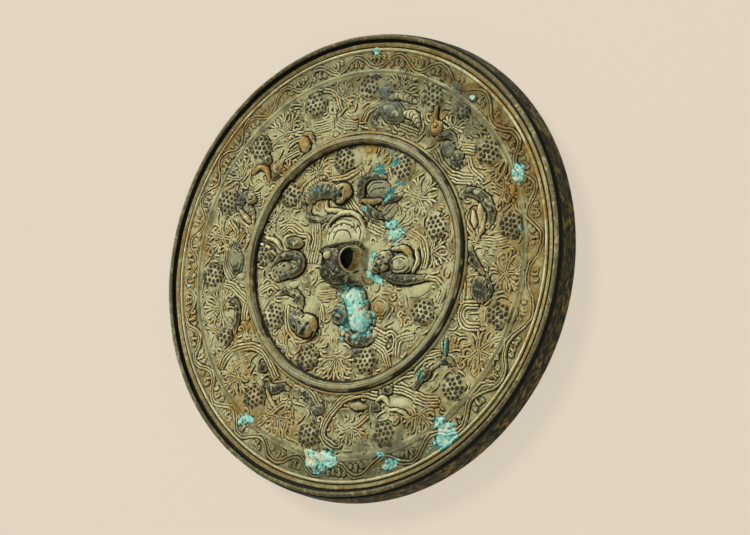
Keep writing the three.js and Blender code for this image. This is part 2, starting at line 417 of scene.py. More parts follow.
    def eye(self, x: float, y: float, radius: float) -> None:
        """Sets a bead in a ring-shaped groove.

        Args:
            x, y: Its middle.
            radius: The bead's radius.
        """
        part, xs, ys = self.window((x - 2 * radius, y - 2 * radius), (x + 2 * radius, y + 2 * radius))
        gap = np.hypot(xs - x, ys - y) / radius
        ring = -0.45 * np.exp(-((gap - 1.25) ** 2) * 9)
        bead = 0.35 * np.clip(1 - gap**2, 0, 1) ** 0.6
        self.fine[part] += (ring + bead).astype(np.float32)

    def sample(self, layer: Array, xs: Array, ys: Array) -> Array:
        """Reads a layer between the places of its grid.

        Args:
            layer: The layer to read.
            xs: The x of each place wanted.
            ys: The y of each place wanted.

        Returns:
            The layer's value at each place.
        """
        u = np.clip((xs + self.reach) / self.step, 0, self.count - 1.001)
        v = np.clip((ys + self.reach) / self.step, 0, self.count - 1.001)
        iu, iv = u.astype(int), v.astype(int)
        fu, fv = u - iu, v - iv
        below = layer[iv, iu] * (1 - fu) + layer[iv, iu + 1] * fu
        above = layer[iv + 1, iu] * (1 - fu) + layer[iv + 1, iu + 1] * fu
        return below * (1 - fv) + above * fv

    def blur(self, layer: Array, sigma: float) -> Array:
        """Softens a layer.

        Args:
            layer: The layer, which stays as it is.
            sigma: How far each place spreads, in millimetres.

        Returns:
            The soft layer.
        """
        pad = 64  # rows and columns added all round, so that no edge spreads to the far side
        big = np.pad(layer, pad, mode="edge")
        rows = np.fft.fftfreq(big.shape[0])[:, None]
        columns = np.fft.rfftfreq(big.shape[1])[None, :]
        weight = np.exp(-2 * (np.pi * sigma / self.step) ** 2 * (rows**2 + columns**2))
        soft = np.fft.irfft2(np.fft.rfft2(big) * weight, big.shape)
        return soft[pad:-pad, pad:-pad].astype(np.float32)


# What is modelled on the back.


@dataclass(frozen=True)
class Bunch:
    """A bunch of grapes: berries crowded on a low mound, with a smooth leaf lobe beside some."""

    x: float
    y: float
    radius: float
    lobe: float | None = None  # direction of the smooth lobe in degrees
    pitch: float = 1.95
    row_gap: float = 0.87  # of the pitch, from one row of berries to the next
    most: int = 4  # rows and columns on each side of the middle

    def model(self, relief: Relief, rng: np.random.Generator) -> None:
        """Raises the mound, the lobe and the berries.

        Args:
            relief: The relief to work.
            rng: The source of chance.
        """
        if self.lobe is not None:
            lx, ly = turned(self.x, self.y, self.lobe, self.radius * 0.62)
            relief.dome(lx, ly, self.radius * 0.85, self.radius * 0.72, 0.7, turn=self.lobe, power=0.5)
        mound = self.radius - 0.1
        relief.dome(self.x, self.y, mound, mound, 1.0, Tone.PALE, power=0.7)
        skew = rng.uniform(0, 60)
        for row in range(-self.most, self.most + 1):
            for column in range(-self.most, self.most + 1):
                along = (column + 0.5 * (row % 2)) * self.pitch
                across = row * self.pitch * self.row_gap
                gap = math.hypot(along, across)
                if gap > self.radius - 0.75:
                    continue
                bx, by = turned(self.x, self.y, skew, along, across)
                bx, by = bx + rng.normal(0, 0.12), by + rng.normal(0, 0.12)
                mound = 1.15 - 0.5 * (gap / self.radius) ** 2
                berry = rng.uniform(0.8, 1.04)
                self._berry(relief, bx, by, berry, mound + rng.uniform(0.15, 0.4), rng.uniform(0.5, 2.2))

    def _berry(self, relief: Relief, x: float, y: float, size: float, top: float, wear: float) -> None:
        """Raises one berry, with a top that handling has darkened and a pale foot.

        Args:
            relief: The relief to work.
            x, y: Its middle.
            size: Its radius.
            top: Its height.
            wear: How dark its top is, from 1 on as dark as can be.
        """
        part, xs, ys = relief.window((x - size, y - size), (x + size, y + size))
        share = np.clip(1 - ((xs - x) ** 2 + (ys - y) ** 2) / size**2, 0, 1).astype(np.float32)
        relief.tall[part] = np.maximum(relief.tall[part], top * share**0.3 * (share > 0))
        relief.pale[part] = np.maximum(relief.pale[part], np.clip(4 * share, 0, 1))
        worn = np.clip((share - 0.26) * 6, 0, 1) * min(wear, 1)
        relief.dark[part] = np.maximum(relief.dark[part], worn)


@dataclass(frozen=True)
class Leaf:
    """A vine leaf: ribs that spread from one root, each ending in a comb of short fingers."""

    x: float
    y: float
    turn: float
    length: float
    lobes: int = 5
    spread: float = 250.0

    def model(self, relief: Relief, rng: np.random.Generator) -> None:
        """Lays the ribs and the fingers of every lobe.

        Args:
            relief: The relief to work.
            rng: The source of chance.
        """
        for k in range(self.lobes):
            away = (k / (self.lobes - 1) - 0.5) * self.spread
            course = self.turn + away
            reach = self.length * (1 - 0.18 * abs(away) / 180) * rng.uniform(0.9, 1.05)
            bend = rng.uniform(-0.5, 0.5)
            near = turned(self.x, self.y, course, 0.5)
            knee = turned(self.x, self.y, course, reach * 0.35, bend * 0.5)
            tip = turned(self.x, self.y, course, reach * 0.62, bend)
            relief.stroke((near, knee, tip), 0.78, 0.5, tip=0.7)
            relief.detail((near, knee, tip), 0.27, -0.36)
            for side in (-1, 0, 1):
                start = turned(*tip, course + 38 * side, 0.35, 0.75 * side)
                end = turned(*start, course + 30 * side, reach * 0.36)
                curl = turned(*start, course + 14 * side, reach * 0.2)
                relief.stroke((start, curl, end), 0.48, 0.54, tip=0.75)


@dataclass(frozen=True)
class Ribbon:
    """Fine ridges side by side, such as vine stems, tail feathers or the folds of a wing."""

    path: Line
    strands: int = 3
    pitch: float = 1.05
    rise: float = 0.6
    over: bool = False  # laid on a form, not on the ground

    def model(self, relief: Relief, rng: np.random.Generator) -> None:
        """Lays every strand.

        Args:
            relief: The relief to work.
            rng: The source of chance.
        """
        for k in range(self.strands):
            line = side_line(self.path, (k - (self.strands - 1) / 2) * self.pitch)
            if self.over:
                relief.detail(line, 0.4 * self.pitch, self.rise * 0.5)
            else:
                relief.stroke(line, 0.44 * self.pitch, self.rise, tip=0.75)


@dataclass(frozen=True)
class Curl:
    """A small hook of vine that winds in to a bud."""

    x: float
    y: float
    radius: float
    start: float = 0.0  # the direction of its outer end from its middle
    sweep: float = 300.0
    steps: int = 8

    def model(self, relief: Relief, rng: np.random.Generator) -> None:
        """Lays the hook and its bud.

        Args:
            relief: The relief to work.
            rng: The source of chance.
        """
        line = []
        for k in range(self.steps + 1):
            share = k / self.steps
            course = self.start + self.sweep * share
            line.append(turned(self.x, self.y, course, self.radius * (1 - 0.75 * share)))
        relief.stroke(line, 0.46, 0.58)


@dataclass(frozen=True)
class Limb:
    """A rounded body, neck, leg or tail of a creature."""

    path: Line
    half: float
    rise: float
    tone: Tone = Tone.PATINA
    ends: tuple[float, float] = (0.5, 0.5)
    hair: int = 0  # strokes of mane or feather across it

    def model(self, relief: Relief, rng: np.random.Generator) -> None:
        """Raises the limb and combs its hair.

        Args:
            relief: The relief to work.
            rng: The source of chance.
        """
        relief.limb(self.path, self.half, self.rise, self.tone, self.ends)
        line = smooth_line(self.path, 0.4)
        along = np.gradient(line, axis=0)
        if self.tone is Tone.METAL and self.half > 1.2:
            for at in rng.integers(0, len(line), len(line) // 6):
                spot = line[at] + rng.normal(0, 0.4 * self.half, 2)
                relief.pit(*spot, rng.uniform(0.25, 0.5), 0.35)
        for k in range(self.hair):
            at = int((k + 0.5) / self.hair * (len(line) - 1))
            course = math.degrees(math.atan2(along[at, 1], along[at, 0]))
            reach = self.half * rng.uniform(0.65, 0.85)
            start = turned(*line[at], course, 0.5, reach)
            middle = turned(*line[at], course, -0.1)
            end = turned(*line[at], course, 0.35, -reach)
            relief.detail((start, middle, end), 0.24, -0.32)


@dataclass(frozen=True)
class Mass:
    """A head, haunch or shoulder of a creature."""

    x: float
    y: float
    half_x: float
    half_y: float
    rise: float
    tone: Tone = Tone.PATINA
    turn: float = 0.0
    eye: Point | None = None  # place of its eye from its middle
    rings: int = 0  # folds round it

    def model(self, relief: Relief, rng: np.random.Generator) -> None:
        """Raises the mass, folds it and sets its eye.

        Args:
            relief: The relief to work.
            rng: The source of chance.
        """
        power, rise = (1.1, 0.75 * self.rise) if self.tone is Tone.PALE else (0.55, self.rise)
        relief.dome(self.x, self.y, self.half_x, self.half_y, rise, self.tone, self.turn, power)
        for k in range(self.rings):
            size = 0.86 - 0.27 * k
            arc = []
            for angle in range(30, 331, 30):
                along = size * self.half_x * math.cos(math.radians(angle))
                across = size * self.half_y * math.sin(math.radians(angle))
                arc.append(turned(self.x, self.y, self.turn, along, across))
            relief.detail(arc, 0.28, -0.35)
        if self.eye is not None:
            relief.eye(self.x + self.eye[0], self.y + self.eye[1], 0.75)


@dataclass(frozen=True)
class Head:
    """A beast's round head: spotted and pale above, with painted shade of dark metal over its lower left and
    earth under its cheek.
    """

    x: float
    y: float
    size: float
    rise: float
    turn: float = 0.0
    spots: Line = (  # as shares of its size
        (-0.34, 0.0), (0.2, -0.3), (-0.4, -0.62), (-0.82, -0.52), (-0.5, 0.5), (0.3, 0.32),
    )

    def model(self, relief: Relief, rng: np.random.Generator) -> None:
        """Raises the head, its brow and cheek, and sinks its spots.

        Args:
            relief: The relief to work.
            rng: The source of chance.
        """
        relief.dome(self.x, self.y, self.size, self.size * 0.92, self.rise, turn=self.turn)
        # painted shade: a slightly lower dome of dark metal tone over the head's lower left
        shade = turned(self.x, self.y, 200, 0.22 * self.size)
        relief.dome(*shade, self.size * 0.78, self.size * 0.7, 0.98 * self.rise, Tone.METAL)
        for along, across in self.spots:
            spot = turned(self.x, self.y, self.turn, along * self.size, across * self.size)
            relief.pit(*spot, self.size * rng.uniform(0.11, 0.18), 0.5)
        brow = [turned(self.x, self.y, self.turn + angle, 0.52 * self.size) for angle in (-20, 15, 50, 85)]
        relief.detail(brow, 0.3, 0.3)
        jaw = [turned(self.x, self.y, angle, 0.9 * self.size) for angle in (-150, -110, -70, -30)]
        relief.detail(jaw, 0.4, -0.2)
        cheek = [turned(self.x, self.y, angle, 0.82 * self.size) for angle in (-95, -60, -25, 10, 40)]
        line = smooth_line(cheek, 0.4)
        swell = np.sin(np.pi * np.linspace(0.1, 0.9, len(line)))
        part, swept = relief.trace(line, 0.26 * self.size * swell, 0.5 + 0.5 * swell, 0.7)
        relief.earth[part] = np.maximum(relief.earth[part], swept)


@dataclass(frozen=True)
class Spots:
    """Small dark hollows at given places."""

    places: Line
    radius: float = 0.55

    def model(self, relief: Relief, rng: np.random.Generator) -> None:
        """Sinks every hollow."""
        for x, y in self.places:
            relief.pit(x, y, self.radius * rng.uniform(0.8, 1.2), 0.35)


@dataclass(frozen=True)
class Folds:
    """Fine lines laid on a form, or cut into it."""

    paths: tuple[Line, ...]
    half: float = 0.34
    rise: float = -0.35

    def model(self, relief: Relief, rng: np.random.Generator) -> None:
        """Lays every line."""
        for path in self.paths:
            relief.detail(path, self.half * rng.uniform(0.85, 1.15), self.rise)


@dataclass(frozen=True)
class Stain:
    """A soft-edged patch where the surface differs from the rest of the back."""

    x: float
    y: float
    half_x: float
    half_y: float
    turn: float = 0.0
    strength: float = 1.0

    def cover(self, relief: Relief, ragged: Array) -> tuple[tuple, Array]:
        """How far the patch covers each place near it.

        Args:
            relief: The relief that it lies on.
            ragged: Noise over the whole grid that frays the patch's edge.

        Returns:
            The slices of the part of the grid that it can reach, and its cover there.
        """
        far = 1.5 * max(self.half_x, self.half_y)
        part, xs, ys = relief.window((self.x - far, self.y - far), (self.x + far, self.y + far))
        along, across = turned_axes(xs, ys, self.x, self.y, self.turn)
        return part, 1 - np.hypot(along / self.half_x, across / self.half_y) + ragged[part]


def within_sweep(turn: Array, start: float, stop: float) -> Array:
    """How far each direction lies inside a sweep, from 0 to 1 with soft ends, all in degrees."""
    away = np.abs((turn - (start + stop) / 2 + 180) % 360 - 180)
    return np.clip(((stop - start) / 2 - away) / 14 + 0.5, 0, 1)


@dataclass(frozen=True)
class Sweep:
    """A soft-edged stretch of a ring of the back, between two directions and two radii."""

    start: float
    stop: float
    inner: float
    outer: float
    strength: float = 1.0

    def cover(self, relief: Relief, ragged: Array) -> tuple[tuple, Array]:
        """How far the stretch covers each place.

        Args:
            relief: The relief that it lies on.
            ragged: Noise over the whole grid that frays the stretch's edge.

        Returns:
            The slices of the whole grid, and the cover at each place.
        """
        turn = np.degrees(np.arctan2(relief.axis[:, None], relief.axis[None, :]))
        radius = relief.radius()
        across = np.clip(np.minimum(radius - self.inner, self.outer - radius) / 1.6, -1, 1)
        share = np.minimum(across, 1.5 * within_sweep(turn, self.start, self.stop))
        return (slice(None), slice(None)), share - 0.35 + 0.8 * ragged


def many(kind: type, *rows: tuple) -> tuple:
    """One motif or stain of a kind for each row of its sizes."""
    return tuple(kind(*row) for row in rows)


METAL, EARTH, PALE, PATINA = Tone.METAL, Tone.EARTH, Tone.PALE, Tone.PATINA

BUNCHES = many(
    Bunch,
    (-29, 27.6, 5), (-5.6, 38.6, 5, 5), (20, 33.6, 5.5), (35.5, 10.6, 5.4), (31, -19.9, 5.2),
    (8, -36.4, 5.3), (-17.6, -34.3, 4.8), (-34, -18.4, 5.2), (-40, 5.6, 4.2), (4, 65.5, 5.2, -10),
    (32, 58.6, 5.5, 12), (56, 35.6, 5.4), (66, 8.6, 5), (62, -22.4, 5.3, 5), (45, -47.4, 5.3, -108),
    (17.4, -62.9, 5, -10), (-15, -62.7, 5, -80), (-41, -48.2, 5, -75), (-64, -1.3, 4.8, -80),
    (-59, 27.1, 5.2), (-45, 47.1, 5, -110), (-20, 61.1, 5.2), (44.6, 51.6, 2.9), (-56.4, -25.2, 3.4),
)

LEAVES = many(
    Leaf,
    (-18, 35, 95, 7, 5, 200), (27.5, 22, 8, 8, 6, 290), (-5, -34.6, -92, 8.6, 5, 165),
    (-36.5, 18.5, 165, 7, 5, 200), (-28, -30, 195, 6, 4, 200), (34, 1.5, 0, 6.5, 4, 170),
    (-60.5, 13.5, 140, 7.4, 6, 300), (-53.5, 36, 122, 8.4, 4, 110), (-34, 51.5, 98, 9, 5, 200),
    (-8, 62.5, 55, 6, 4, 180), (18, 62, 80, 8, 5, 190), (48.5, 45.5, 60, 6.5, 4, 180),
    (-59.5, -14, 178, 8, 5, 210), (-49.5, -40.5, -150, 7, 5, 190), (-30, -56, -75, 7.4, 5, 220),
    (54.5, -34.5, -25, 8.4, 5, 240), (64, -8, 8, 7.5, 5, 260), (31.5, -56, -65, 7.4, 4, 190),
    (62.5, 21.5, 30, 6.6, 5, 240), (3, -60.5, -100, 7, 4, 150), (-30, 36, 150, 5, 4, 180),
    (52, 4, 100, 4.5, 4, 180), (40.5, 46, 90, 5, 4, 180), (-12, -42.2, -90, 2.2, 3, 100),
)

RIBBONS = many(
    Ribbon,
    # the field of beasts
    (((-3.5, 23), (3.5, 15.2), (13, 10.2)), 4), (((-17.6, 17), (-16.6, 9), (-18.3, 1)), 4),
    (((-14.8, -11.4), (-7, -11.1)), 4, 0.95), (((-15, -14), (-13.3, -16.5), (-12.4, -20.5)), 3, 0.9),
    (((24.5, 9.2), (29, 6.5), (31.2, 1), (30.5, -4)), 3, 1.1),
    (((-28.5, -15), (-27.3, -23.5), (-21.5, -28), (-14.5, -25.2)), 2, 1.2),
    (((-25.5, 22.5), (-25.3, 30), (-20, 34)), 2, 1.3),
    (((10.5, -30.5), (15.5, -33.5), (17.5, -38.5)), 3, 1), (((10.5, -26.3), (16.5, -29.3)), 4, 1.2),
    (((20.5, -35), (21.5, -29.5), (27.5, -28)), 3, 1.1),
    (((14.5, -28), (19, -27), (20, -32), (16, -35)), 2, 1.1),
    (((-33.5, -8.5), (-36.5, -7), (-40.5, -8.5)), 2, 1.1),
    (((30.5, -7.5), (36, -8.5), (39.3, -12.5), (38, -16.5)), 2, 1.1),
    (((5.5, 12.5), (7, 17.5), (5, 20.5)), 2, 1), (((-33.5, 12.5), (-29.5, 15), (-24, 12.5)), 3, 1),
    (((-36, 24), (-41, 17), (-38, 12)), 2, 1.1), (((-12.5, 31.8), (-4, 32.5), (1.5, 35)), 2, 1.1),
    (((-21, 6), (-20.5, 10.5), (-24, 12)), 2, 1), (((20, 12), (24.5, 14), (24.8, 18)), 2, 1),
    # the field of birds
    (((-58.2, -37), (-54.2, -31.5), (-46, -29.2), (-38, -31.8), (-31.5, -41.5)), 3, 1.1, 0.85),
    (((-4, -67.2), (-9, -64), (-8.3, -58), (-2, -50.8), (5, -48.2), (13.5, -49.2)), 3, 1.1, 0.85),
    (((28, -40), (33, -36), (39, -34.6)), 3, 1), (((20, -44.4), (24, -42.3), (28.4, -42)), 2, 1.1),
    (((20.5, -46.8), (25, -47.8), (30, -50.2)), 3, 1.05),
    (((29.3, -50), (34, -51.5), (39, -51.8)), 4, 1.05),
    (((-58.3, -4.5), (-53.5, -6.5), (-48, -11.5)), 3, 1.05), (((-47.7, -12.5), (-48.2, -19)), 3, 1.1),
    (((-22.5, -43.5), (-16, -46.5), (-11.5, -51.5)), 3, 1.05), (((-19.8, 52.6), (-12.8, 53.2)), 5, 0.95),
    (((-9.8, 54.4), (-6.5, 52.4), (-1, 51.5)), 4, 0.95), (((1.5, 53), (3.5, 56.5), (8.5, 59)), 3, 1.05),
    (((-33.5, 41.6), (-27, 44)), 3, 1), (((-32, 46.7), (-28.5, 48.5), (-24.5, 49)), 2, 1.1),
    (((18, 49), (25.5, 45.5)), 3, 1), (((33.5, 37.6), (37, 31.5), (42, 28), (49, 26.3)), 4, 1.05, 0.75),
    (((44.6, 38.4), (49.8, 37.2)), 4, 0.95), (((47.5, 34), (49.5, 29.5), (54, 26)), 2, 1.1),
    (((54, 4.2), (59, 3.4), (64, 3.9)), 4, 0.95, 0.75), (((46.8, -9), (46.7, -17.5)), 3, 1.1),
    (((53.5, -18.5), (48.5, -18.5), (46.8, -22), (49, -25.5), (54, -26.2)), 3, 1.1, 0.75),
    (((-46.8, 27.2), (-44.2, 27.4)), 6, 0.95), (((-57.5, 20), (-54.2, 15), (-55.5, 12)), 2, 1.1),
    (((-51, 14.5), (-55, 8.5)), 3, 1), (((-58, 9), (-58.3, 2), (-55.5, -3)), 3, 1.1),
    (((-25.5, -57.5), (-26.5, -63), (-21, -65.5)), 2, 1.2),
    (((-38.5, -58.5), (-30, -52.5), (-25, -50)), 2, 1.1), (((5, -60), (10, -56.2)), 2, 1.1),
    (((25, -52.6), (29, -55.2), (29.5, -60)), 2, 1.1),
    (((52, -50.5), (56.5, -46.5), (61.5, -46.2)), 2, 1.1), (((36.8, 56.5), (41.5, 53), (41, 47)), 1),
    (((58.5, -33), (61, -30.8), (65, -30.5)), 2, 1), (((49, 15.5), (47.8, 11), (50.5, 6.5)), 2, 1.1),
    (((22.5, 66.5), (26.5, 66.8), (29, 64.8)), 2, 1), (((-49, -35.5), (-53, -38.2), (-57, -38.8)), 2, 1),
    (((-16.5, 66.7), (-11.5, 64.5), (-8.5, 58)), 2, 1.1), (((13, 66.8), (13.8, 62)), 2, 1.1),
)

CURLS = many(
    Curl,
    (8.3, 7, 1.7), (18.5, -13.6, 1.6, 200), (35, -12.2, 1.3), (-12, 58.4, 2, 90), (-10.5, 43, 1.2),
    (-61, 8.4, 1.5, 45), (-66, 8, 1.7, 120), (-29.3, 53, 1.5, 30), (-51, 33, 1.8, 150, 240),
    (26.2, 13.2, 1.4), (29.5, 15.7, 1.1), (48.5, 25, 1.3), (-36.8, -9.3, 1.6, 80), (-49.5, -22.5, 1.3),
    (49.8, -35.8, 2.1, 30), (55.5, -39.8, 2.3, 60, 220), (48, -39.2, 1.6, 200), (61, -37.5, 1.5),
    (-25, -51, 1.6, 120), (36, -57, 1.7, 20), (41, 39.6, 1.7, 60), (43.5, 31.4, 1.4),
    (24.5, -23.4, 1.7, 40), (36.5, 16.8, 1.1), (39.5, 13.9, 1.1, 90), (38.5, 7, 1.5, -60), (-37.5, -3, 1.5),
    (-33, -24.6, 1.2, 90), (-22.6, 8.5, 1.4), (-38, 30.6, 1.2), (60.5, 15.5, 1.4, 70), (69, -13, 1.4, 10),
    (13, -22, 1.3, 30), (21.5, -20.6, 1.2, 80), (-11, -57.3, 1.4), (1, -56.5, 1.5, 150),
    (-30.8, -60.8, 1.7, 200), (-52, 46.5, 1.3), (-28.5, 39.7, 1.3), (46.3, 20.4, 1.1),
)

SPECKLED = (  # the spots of the head beside the knob, as shares of its size
    (-0.5, 0.1), (-0.2, -0.35), (0.15, 0.15), (0.1, -0.6), (-0.6, -0.3), (0.45, -0.15), (0.5, 0.4),
    (-0.1, 0.55),
)

BEASTS = (
    # above on the left: walking right, its head turned up
    Limb(((-20, 25.5), (-15.5, 28), (-9.5, 27)), 3.5, 3.3, METAL, (0.7, 0.7), hair=6),
    Head(-6, 26, 4.4, 3.8), Limb(((-22.5, 24.5), (-20.5, 30), (-14.5, 33)), 1.5, 1.1, hair=10),
    Limb(((-19.5, 24), (-21, 20.5), (-19.3, 17.6), (-14.5, 16.6), (-9.5, 18.3)), 1.15, 1.5, METAL),
    Limb(((-13, 23.5), (-12, 20.4), (-8.5, 19.8), (-2.5, 18.6)), 1.1, 1.3),
    Limb(((-22.5, 29), (-24, 25.5), (-22.5, 21.5)), 1, 1.3, METAL),
    # above on the right: corroded, its back a bare arc
    Limb(((2.6, 22.8), (2.7, 28.6), (6.4, 31.2), (12.5, 30.4)), 1.6, 3.4, METAL, (0.7, 0.4), hair=5),
    Mass(9.8, 26.4, 5.4, 4, 1.5, PATINA, -12),
    Folds((((5.6, 26), (8, 28.6), (12, 28.4)), ((6.6, 24.8), (9.4, 26.4), (13.4, 26))), 0.4, -0.3),
    Limb(((3, 22.8), (7, 21.6), (11.5, 22.2)), 1.2, 2.2, EARTH),
    Limb(((6.2, 20.5), (9, 17), (14, 15.4)), 1.3, 2.3, METAL, (0.8, 0.5)),
    Limb(((5, 19), (7.2, 15.6), (12.2, 13.2)), 0.9, 1.6, METAL),
    Limb(((12, 21), (16.5, 22), (20.2, 23.8)), 1.3, 2, METAL, hair=3),
    Mass(15, 17.8, 4, 2.6, 1, PATINA, 35),
    Folds((((12.2, 15.8), (15.2, 17.2), (18, 20)), ((13, 17.8), (15, 19), (16.4, 20.4))), 0.3, -0.25),
    # on the right: curled round, its head beside the knob
    Head(13.4, -1.2, 4.3, 3.8, 60, SPECKLED), Mass(12.6, -0.6, 3, 3, 3.75, METAL),
    Mass(11.4, -3.4, 2.2, 1.8, 4, EARTH), Limb(((15.5, 2.5), (18, -2.5), (17, -5.5)), 1.2, 3, METAL),
    Limb(((14, -5), (19.5, -7.4), (26.5, -8), (33, -8.2)), 1.9, 3.1, METAL, (0.8, 0.3), hair=9),
    Mass(21.2, -2.2, 5.6, 4, 2.2, PATINA, 5, rings=2),
    Limb(((17.5, 3.6), (23, 3), (26.2, -1.2)), 1.3, 2.5, EARTH), Mass(20, -2.3, 2.3, 1.1, 2.8, PALE, -15),
    Limb(((27, 3), (28.6, -1), (26.3, -5)), 1, 1.6), Mass(29.5, -12.5, 5.5, 3.2, 0.55, PATINA, 10),
    Folds((((25, -14.6), (29.6, -14.4), (33.6, -12.6)),), 0.3, -0.25),
    # below: its back under turquoise crust
    Mass(-4, -19.3, 3.8, 3.7, 3.6, METAL), Spots(((-4.2, -18.4), (-3.4, -21), (-5.6, -20)), 0.6),
    Limb(((-7, -18), (-5, -15.9), (-1.8, -16.6)), 0.55, 3.4, PALE), Mass(2.4, -14.2, 4.6, 5, 2.3),
    Mass(3.4, -17.8, 5, 5, 2.35), Mass(4.9, -21.4, 5.2, 4.8, 2.5),
    Limb(((-3.5, -24.5), (1.5, -28.4), (7, -29.3), (12, -27)), 2.2, 2.7, METAL, (0.6, 0.4), hair=7),
    Mass(13, -17.4, 3.9, 3.9, 1.3, rings=2), Mass(12.4, -18.6, 1.7, 1.5, 1.8, EARTH),
    Mass(4, -33, 3.4, 1.6, 1, METAL, 10),
    # below on the left: a great round haunch
    Head(-18.8, -22.8, 5.1, 4, -30), Mass(-19.4, -25, 2.4, 1.9, 4.1, METAL, 30),
    Mass(-23.6, -20.2, 3.4, 4.2, 2.7, METAL, 20, (1.2, 3), 0), Mass(-16.8, -15, 3, 3.6, 0.6, PATINA, 10),
    Limb(((-22, -16), (-22.6, -12.6), (-27, -9.2), (-33.5, -10)), 1.6, 2.2, METAL, (0.6, 0.3)),
    # on the left: bent like an S
    Mass(-26.2, 9, 3.7, 2.5, 2.6, METAL, -8), Spots(((-27.8, 9.6), (-25.4, 9.4), (-24.4, 8.2)), 0.5),
    Limb(((-29.6, 7.6), (-29.6, 11), (-26, 12.2)), 0.8, 2.2),
    Limb(
        ((-36.5, 1), (-32, 4), (-26, 4.2), (-22.8, 1.8), (-23.6, -1.4), (-28, -3), (-34, -4.4)), 1.7, 2.9,
        METAL, (0.4, 0.5), hair=9,
    ),
    Mass(-32.3, -1.4, 4.6, 3.4, 1.7, PATINA, 20),
    Spots(
        (
            (-33.5, 0.6), (-31.8, 1.4), (-30.2, 0.4), (-35, -1.2), (-33.2, -1.8), (-31.4, -2.2),
            (-34.2, -3.4),
        ),
        0.62,
    ),
    Limb(((-40.5, 12.2), (-35.5, 10.5), (-32.2, 6.8)), 0.9, 1.2),
    Limb(((-42.8, 9.6), (-38.5, 8.2), (-35, 4.8)), 0.8, 1.3),
    Mass(-26.5, -7.2, 3.2, 2.2, 0.8, PATINA, 20, rings=1),
    # the haunches and mane of the crouching beast that carries the knob
    Mass(-3.4, 12.2, 10, 6.4, 1.9, PALE), Mass(-9, 9.4, 5, 4.4, 1.8, PALE, 30),
    Mass(2.4, 10.6, 4.4, 4.8, 1.7, PALE, 60),
    Folds(
        (
            ((-10.6, 13.4), (-9.4, 14.7), (-7.8, 15)), ((-8.2, 13.2), (-6.8, 13.9)),
            ((-5.6, 13.6), (-4.4, 13.9)), ((-11.4, 10.8), (-10.6, 12)), ((-8.8, 11), (-8, 11.6)),
            ((1.2, 12.2), (2.2, 13.4)),
        ),
        0.5, -0.5,
    ),
    Folds(
        (
            ((-12.6, 9.6), (-11.2, 14), (-6, 16.2), (-0.4, 15.2)), ((1.6, 14), (3.4, 11.4), (3.2, 8)),
            ((-1, 12.6), (0.6, 13.4), (0, 14.8)),
            ((-8.4, 8.6), (-7.4, 11), (-4.6, 12.2), (-1.6, 11.2), (-0.6, 8.8)),
            ((-11, 8), (-9.8, 12.2), (-6, 14.4), (-1, 13.6), (1.8, 10.4)),
        ),
        0.36, -0.3,
    ),
    Folds((((-3, 10), (-0.4, 11.4), (0.4, 9)), ((-10, 9.4), (-8, 10), (-6.4, 9.4))), 0.4, 0.2),
    Ribbon(((-11.5, 15), (-6.5, 17.8), (0, 16.6), (4, 12), (4.2, 8)), 3, 1.3, 0.5, True),
    Limb(((-11.5, 14), (-7.5, 17.6), (-2, 18.4), (3, 15.6), (5.2, 11)), 1, 2.1, PALE),
    Mass(7, -6, 3, 2, 1.2, EARTH, -40),
)

